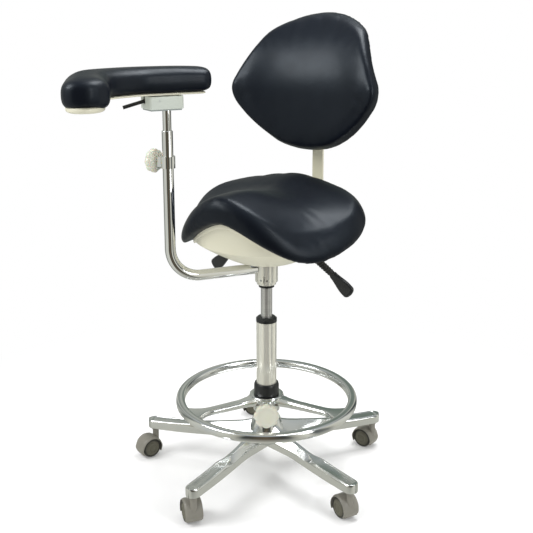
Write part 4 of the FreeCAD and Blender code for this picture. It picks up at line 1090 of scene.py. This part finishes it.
def make_arm_tube():
    """The bent chrome tube: out from the collar, one wide bend and up, with a rolled top rim."""
    way = heading(-34.6)
    up = Vector((0, 0, 1))
    side = way.cross(up)
    start, reach, bend, axis_z, radius, bore = 0.0268, 0.239, 0.072, 0.533, 0.0125, 0.0098
    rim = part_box("arm_tube")[1].z
    rings = []

    def ring(out, height, along, size):
        point = way * out + up * height
        across = along.cross(side)
        rings.append([point + side * size * math.cos(a) + across * size * math.sin(a)
                      for a in (2 * math.pi * k / 64 for k in range(64))])

    ring(start, axis_z, way, radius)
    ring(reach - bend, axis_z, way, radius)
    for step in range(1, 40):
        angle = math.pi / 2 * step / 40
        ring(reach - bend + bend * math.sin(angle), axis_z + bend - bend * math.cos(angle),
             way * math.cos(angle) + up * math.sin(angle), radius)
    for height, size in ((axis_z + bend, radius), (rim - 0.0015, radius), (rim - 0.0004, radius - 0.0004),
                         (rim, radius - 0.0011), (rim, bore + 0.0003), (rim - 0.0004, bore),
                         (rim - 0.180, bore)):
        ring(reach, height, up, size)
    mesh_piece("arm_tube_bent", skin(rings), MATERIALS["chrome"], "arm", ["arm_tube"],
               crease=50.0)


def make_arm_head():
    """The pale housing on the post, its rim and its lever slot."""
    low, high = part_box("arm_head")
    wide, front, back, wall = 0.029, -0.050, 0.030, 0.003
    floor, top = low.z, high.z - 0.0002

    def loop(inset, z, radius):
        left, right, near, far = inset - wide, wide - inset, front + inset, back - inset
        corners = [(left, near), (right, near), (right, far), (left, far)]
        return [(p[0], p[1], z) for p in rounded(corners, radius, 6, closed=True)]

    rings = [loop(0.0022, floor, 0.004), loop(0.0007, floor + 0.0006, 0.005),
             loop(0.0, floor + 0.0022, 0.006), loop(0.0, top - 0.001, 0.006),
             loop(0.0008, top, 0.0055), loop(wall, top, 0.003), loop(wall, floor + 0.012, 0.003)]
    housing = mesh_piece("arm_head_housing", placed(skin(rings), ARM_TURN), HEAD_PAINT, "arm_head",
                         ["arm_head"], crease=50.0)
    slot = ((-0.012, front - 0.001, top - 0.017), (0.0, front + 0.004, top + 0.001), ARM_TURN)
    carve(housing, [slot])


make_arm_tube()
make_arm_head()


# ---------------------------------------------------------------- seat levers

LEVER_Z = 0.592
LEVER_DROP = math.radians(34.0)
GRIP_START = 0.082        # along the lever's outer part
GRIP_LENGTH = 0.066
GRIP_LEAN = math.radians(-6.0)


def lever_frame(side):
    """Matrix of a lever's outer part: local +Z runs out along it, +X is up and +Y across."""
    bend = 0.112 if side > 0 else 0.054
    along = Vector((side * math.cos(LEVER_DROP), 0, -math.sin(LEVER_DROP)))
    up = Vector((side * math.sin(LEVER_DROP), 0, math.cos(LEVER_DROP)))
    across = along.cross(up)
    start = Vector((side * bend, 0.0 if side > 0 else 0.018, LEVER_Z))
    return Matrix.Translation(start) @ Matrix((up, across, along)).transposed().to_4x4()


def boot_shape():
    """Eleven soft ribs between two plain cuffs, on a sleeve."""
    profile = [(0.0041, 0.006), (0.0074, 0.006), (0.0082, 0.0066)]
    valley, pitch = 0.0069, 0.0066
    for index in range(11):
        base = 0.0068 + index * pitch
        crest = 0.0095 - index * 0.00012
        for step in range(7):
            share = step / 7
            swell = math.sin(math.pi * share) ** 0.7
            profile.append((valley + (crest - valley) * swell, base + pitch * share))
    profile += [(valley, 0.0865), (0.0041, 0.0865)]
    return lathe(profile, 48, looped=True)


def paddle_shape():
    """A flat, waisted grip with a shallow thumb panel and a round end."""
    rings = []
    stations = 40
    for step in range(stations + 1):
        share = step / stations
        half = 0.0090 + 0.0070 * ease(0.05, 0.72, share)
        thick = 0.0066 + 0.0009 * math.sin(math.pi * min(1.0, share * 1.1))
        end = min(1.0, (1.0 - share) / 0.16)
        start = min(1.0, (share + 0.01) / 0.06)
        full = math.sqrt(max(0.0004, 1 - (1 - end) ** 2.2)) * math.sqrt(max(0.02, 1 - (1 - start) ** 2))
        ring = []
        for k in range(36):
            angle = 2 * math.pi * k / 36
            up = signed_power(math.cos(angle), 0.8) * half * full
            across = signed_power(math.sin(angle), 0.62) * thick * full
            panel = ease(0.18, 0.30, share) * (1 - ease(0.84, 0.93, share))
            panel *= 1 - ease(0.55, 0.72, abs(up) / half)
            across -= math.copysign(0.0010 * panel, across)
            ring.append(Vector((up, across, GRIP_START + GRIP_LENGTH * share)))
        rings.append(ring)
    return skin(rings)


def make_levers():
    for side, name in ((1, "height_lever"), (-1, "tilt_lever")):
        place = lever_frame(side)
        mesh_piece(name + "_bellows", placed(boot_shape(), place), MATERIALS["black_rubber"],
                   name, [name + "_boot"], crease=60.0)
        pivot = Matrix.Translation((0, 0, GRIP_START))
        lean = pivot @ Matrix.Rotation(GRIP_LEAN, 4, "Y") @ pivot.inverted()
        mesh_piece(name + "_grip", placed(paddle_shape(), place @ lean), MATERIALS["black_plastic"],
                   name, [name + "_paddle"], crease=50.0)


make_levers()


# ---------------------------------------------------------------- camera, floor and lights

def make_camera():
    data = bpy.data.cameras.new("camera")
    data.lens = 57.0
    data.sensor_width = 36.0
    data.shift_y = -0.1004
    data.clip_end = 60.0
    camera = bpy.data.objects.new("camera", data)
    camera.location = (1.0686, -1.6455, 1.1156)
    camera.rotation_euler = (math.radians(77.132), 0, math.radians(33.0))
    bpy.context.scene.collection.objects.link(camera)
    bpy.context.scene.camera = camera


FLOOR_SHADE = (0.93, 0.93, 0.93)
FLOOR_GLOSS = 0.07
FLOOR_FADE = (0.42, 1.15)         # distances from the axis where the floor starts and ends its fade
# Flat shade that metal sees of the floor near the stool: painted reflection, shown only to glossy rays.
FLOOR_PAINTED_REFLECTION = (0.52, 0.52, 0.46, 1)
BANDS_FADE = (0.22, 0.80)         # distances where metal starts to see bands in place of that shade, both painted reflection on the floor
FLOOR_RADIUS = 14
FLOOR_SIDES = 96


def bands_around(tree, coordinates):
    """The studio's soft bands, set out by the way round from the middle."""
    around = wired(tree, "TexGradient", {"Vector": coordinates}, gradient_type="RADIAL")
    ramp = wired(tree, "ValToRGB", {"Fac": around.outputs["Color"]})
    elements = ramp.color_ramp.elements
    elements[0].color = (*WORLD_BANDS[0][1], 1)
    elements[1].color = (*WORLD_BANDS[-1][1], 1)
    for position, shade in WORLD_BANDS[1:-1]:
        elements.new(position).color = (*shade, 1)
    return ramp.outputs["Color"]


def reach_from_middle(tree, position, low, high):
    """0 within low of the stool's axis, rising smoothly to 1 at high."""
    length = wired(tree, "VectorMath", {0: position}, operation="LENGTH").outputs["Value"]
    inputs = {"From Min": low, "From Max": high, "Value": length}
    return wired(tree, "MapRange", inputs, interpolation_type="SMOOTHSTEP").outputs["Result"]


def make_floor():
    """A wide pale disc that fades to the studio's white; a little gloss leaves soft reflections. To
    glossy rays it glows instead with a painted reflection: a flat shade near the stool, the studio's
    bands further out.
    """
    look = Look("floor_white", FLOOR_SHADE, 0.6, Specular_IOR_Level=0.0,
                Emission_Color=(1, 1, 1, 1), Emission_Strength=0.12)
    look.tint(look.noise(3.0), (0.92, 0.92, 0.925))
    tree = look.tree
    position = wired(tree, "NewGeometry", {}).outputs["Position"]
    gloss = wired(tree, "BsdfGlossy", {"Color": (*FLOOR_SHADE, 1), "Roughness": 0.16}).outputs["BSDF"]
    ground = mixed_shader(tree, FLOOR_GLOSS, look.shader.outputs["BSDF"], gloss)
    backdrop = wired(tree, "Emission", {}).outputs["Emission"]
    ground = mixed_shader(tree, reach_from_middle(tree, position, *FLOOR_FADE), ground, backdrop)
    # To glossy rays the floor glows with a painted reflection: that flat shade near the stool, the
    # studio's bands further out.
    seen = mixed_colour(tree, reach_from_middle(tree, position, *BANDS_FADE), FLOOR_PAINTED_REFLECTION,
                        bands_around(tree, position))
    painted_reflection = wired(tree, "Emission", {"Color": seen}).outputs["Emission"]
    reflected = wired(tree, "LightPath", {}).outputs["Is Glossy Ray"]
    result = mixed_shader(tree, reflected, ground, painted_reflection)
    tree.links.new(result, tree.nodes["Material Output"].inputs["Surface"])
    points = [(0.0, 0.0, 0.0)]
    for step in range(FLOOR_SIDES):
        angle = 2 * math.pi * step / FLOOR_SIDES
        points.append((FLOOR_RADIUS * math.cos(angle), FLOOR_RADIUS * math.sin(angle), 0.0))
    faces = [(0, step + 1, (step + 1) % FLOOR_SIDES + 1) for step in range(FLOOR_SIDES)]
    floor = plain_object("floor", (points, faces))
    floor.data.materials.append(look.material)


def area_light(name, location, target, size, power):
    data = bpy.data.lights.new(name, "AREA")
    data.shape = "RECTANGLE"
    data.size, data.size_y = size
    data.energy = power
    light = bpy.data.objects.new(name, data)
    light.location = location
    light.rotation_euler = (Vector(target) - Vector(location)).to_track_quat("-Z", "Y").to_euler()
    bpy.context.scene.collection.objects.link(light)


def make_world():
    """An even white studio; what glossy metal sees has soft dark and cream bands round the horizon."""
    world = bpy.data.worlds.new("studio")
    world.use_nodes = True
    bpy.context.scene.world = world
    tree = world.node_tree
    even = tree.nodes["Background"]
    even.inputs["Color"].default_value = (1, 1, 1, 1)
    even.inputs["Strength"].default_value = WORLD_LIGHT
    place = wired(tree, "TexCoord", {}).outputs["Generated"]
    height = wired(tree, "SeparateXYZ", {"Vector": place}).outputs["Z"]
    inputs = {"From Min": OVERHEAD_FADE[0], "From Max": OVERHEAD_FADE[1], "Value": height}
    lift = wired(tree, "MapRange", inputs).outputs["Result"]
    around = mixed_colour(tree, lift, bands_around(tree, place), OVERHEAD)
    bands = wired(tree, "Background", {"Color": around, "Strength": BANDS_LIGHT}).outputs["Background"]
    fill = wired(tree, "Background", {"Strength": FILL_LIGHT}).outputs["Background"]
    path = wired(tree, "LightPath", {}).outputs
    result = mixed_shader(tree, path["Is Diffuse Ray"], even.outputs["Background"], fill)
    result = mixed_shader(tree, path["Is Glossy Ray"], result, bands)
    tree.links.new(result, tree.nodes["World Output"].inputs["Surface"])


WORLD_LIGHT = 1.0
FILL_LIGHT = 0.72
BANDS_LIGHT = 0.95
OVERHEAD = (0.46, 0.49, 0.50, 1)
OVERHEAD_FADE = (0.50, 0.85)      # heights on the unit sphere where the bands give way to it
WORLD_BANDS = (           # way round the horizon as a share of a turn, what metal sees there
    (0.00, (0.45, 0.46, 0.42)), (0.05, (0.12, 0.14, 0.13)), (0.09, (0.66, 0.66, 0.58)),
    (0.16, (0.56, 0.58, 0.56)), (0.215, (0.70, 0.69, 0.60)), (0.25, (0.50, 0.49, 0.42)),
    (0.275, (0.03, 0.04, 0.04)), (0.34, (0.13, 0.10, 0.065)), (0.405, (0.03, 0.04, 0.04)),
    (0.43, (0.50, 0.49, 0.41)), (0.46, (0.80, 0.79, 0.70)), (0.49, (0.10, 0.11, 0.11)),
    (0.53, (0.14, 0.15, 0.14)), (0.56, (0.60, 0.59, 0.50)), (0.64, (0.74, 0.74, 0.68)),
    (0.70, (0.05, 0.06, 0.06)), (0.74, (0.08, 0.09, 0.09)), (0.77, (0.64, 0.63, 0.55)),
    (0.80, (0.22, 0.25, 0.22)), (0.83, (0.16, 0.20, 0.17)), (0.855, (0.50, 0.51, 0.46)),
    (0.88, (0.20, 0.23, 0.21)), (0.92, (0.62, 0.62, 0.56)), (0.96, (0.22, 0.24, 0.23)),
    (1.00, (0.45, 0.46, 0.42)),
)

make_camera()
make_floor()
make_world()
area_light("key", (-1.5, -1.9, 2.5), (0, 0, 0.75), (1.7, 1.4), 62)
area_light("top", (0.3, 0.6, 2.6), (0, 0.1, 0.6), (1.2, 0.9), 34)
area_light("right", (2.2, -0.3, 1.5), (0, 0.1, 0.8), (0.4, 1.8), 16)

scene = bpy.context.scene
scene.view_settings.view_transform = "Standard"
scene.view_settings.look = "None"
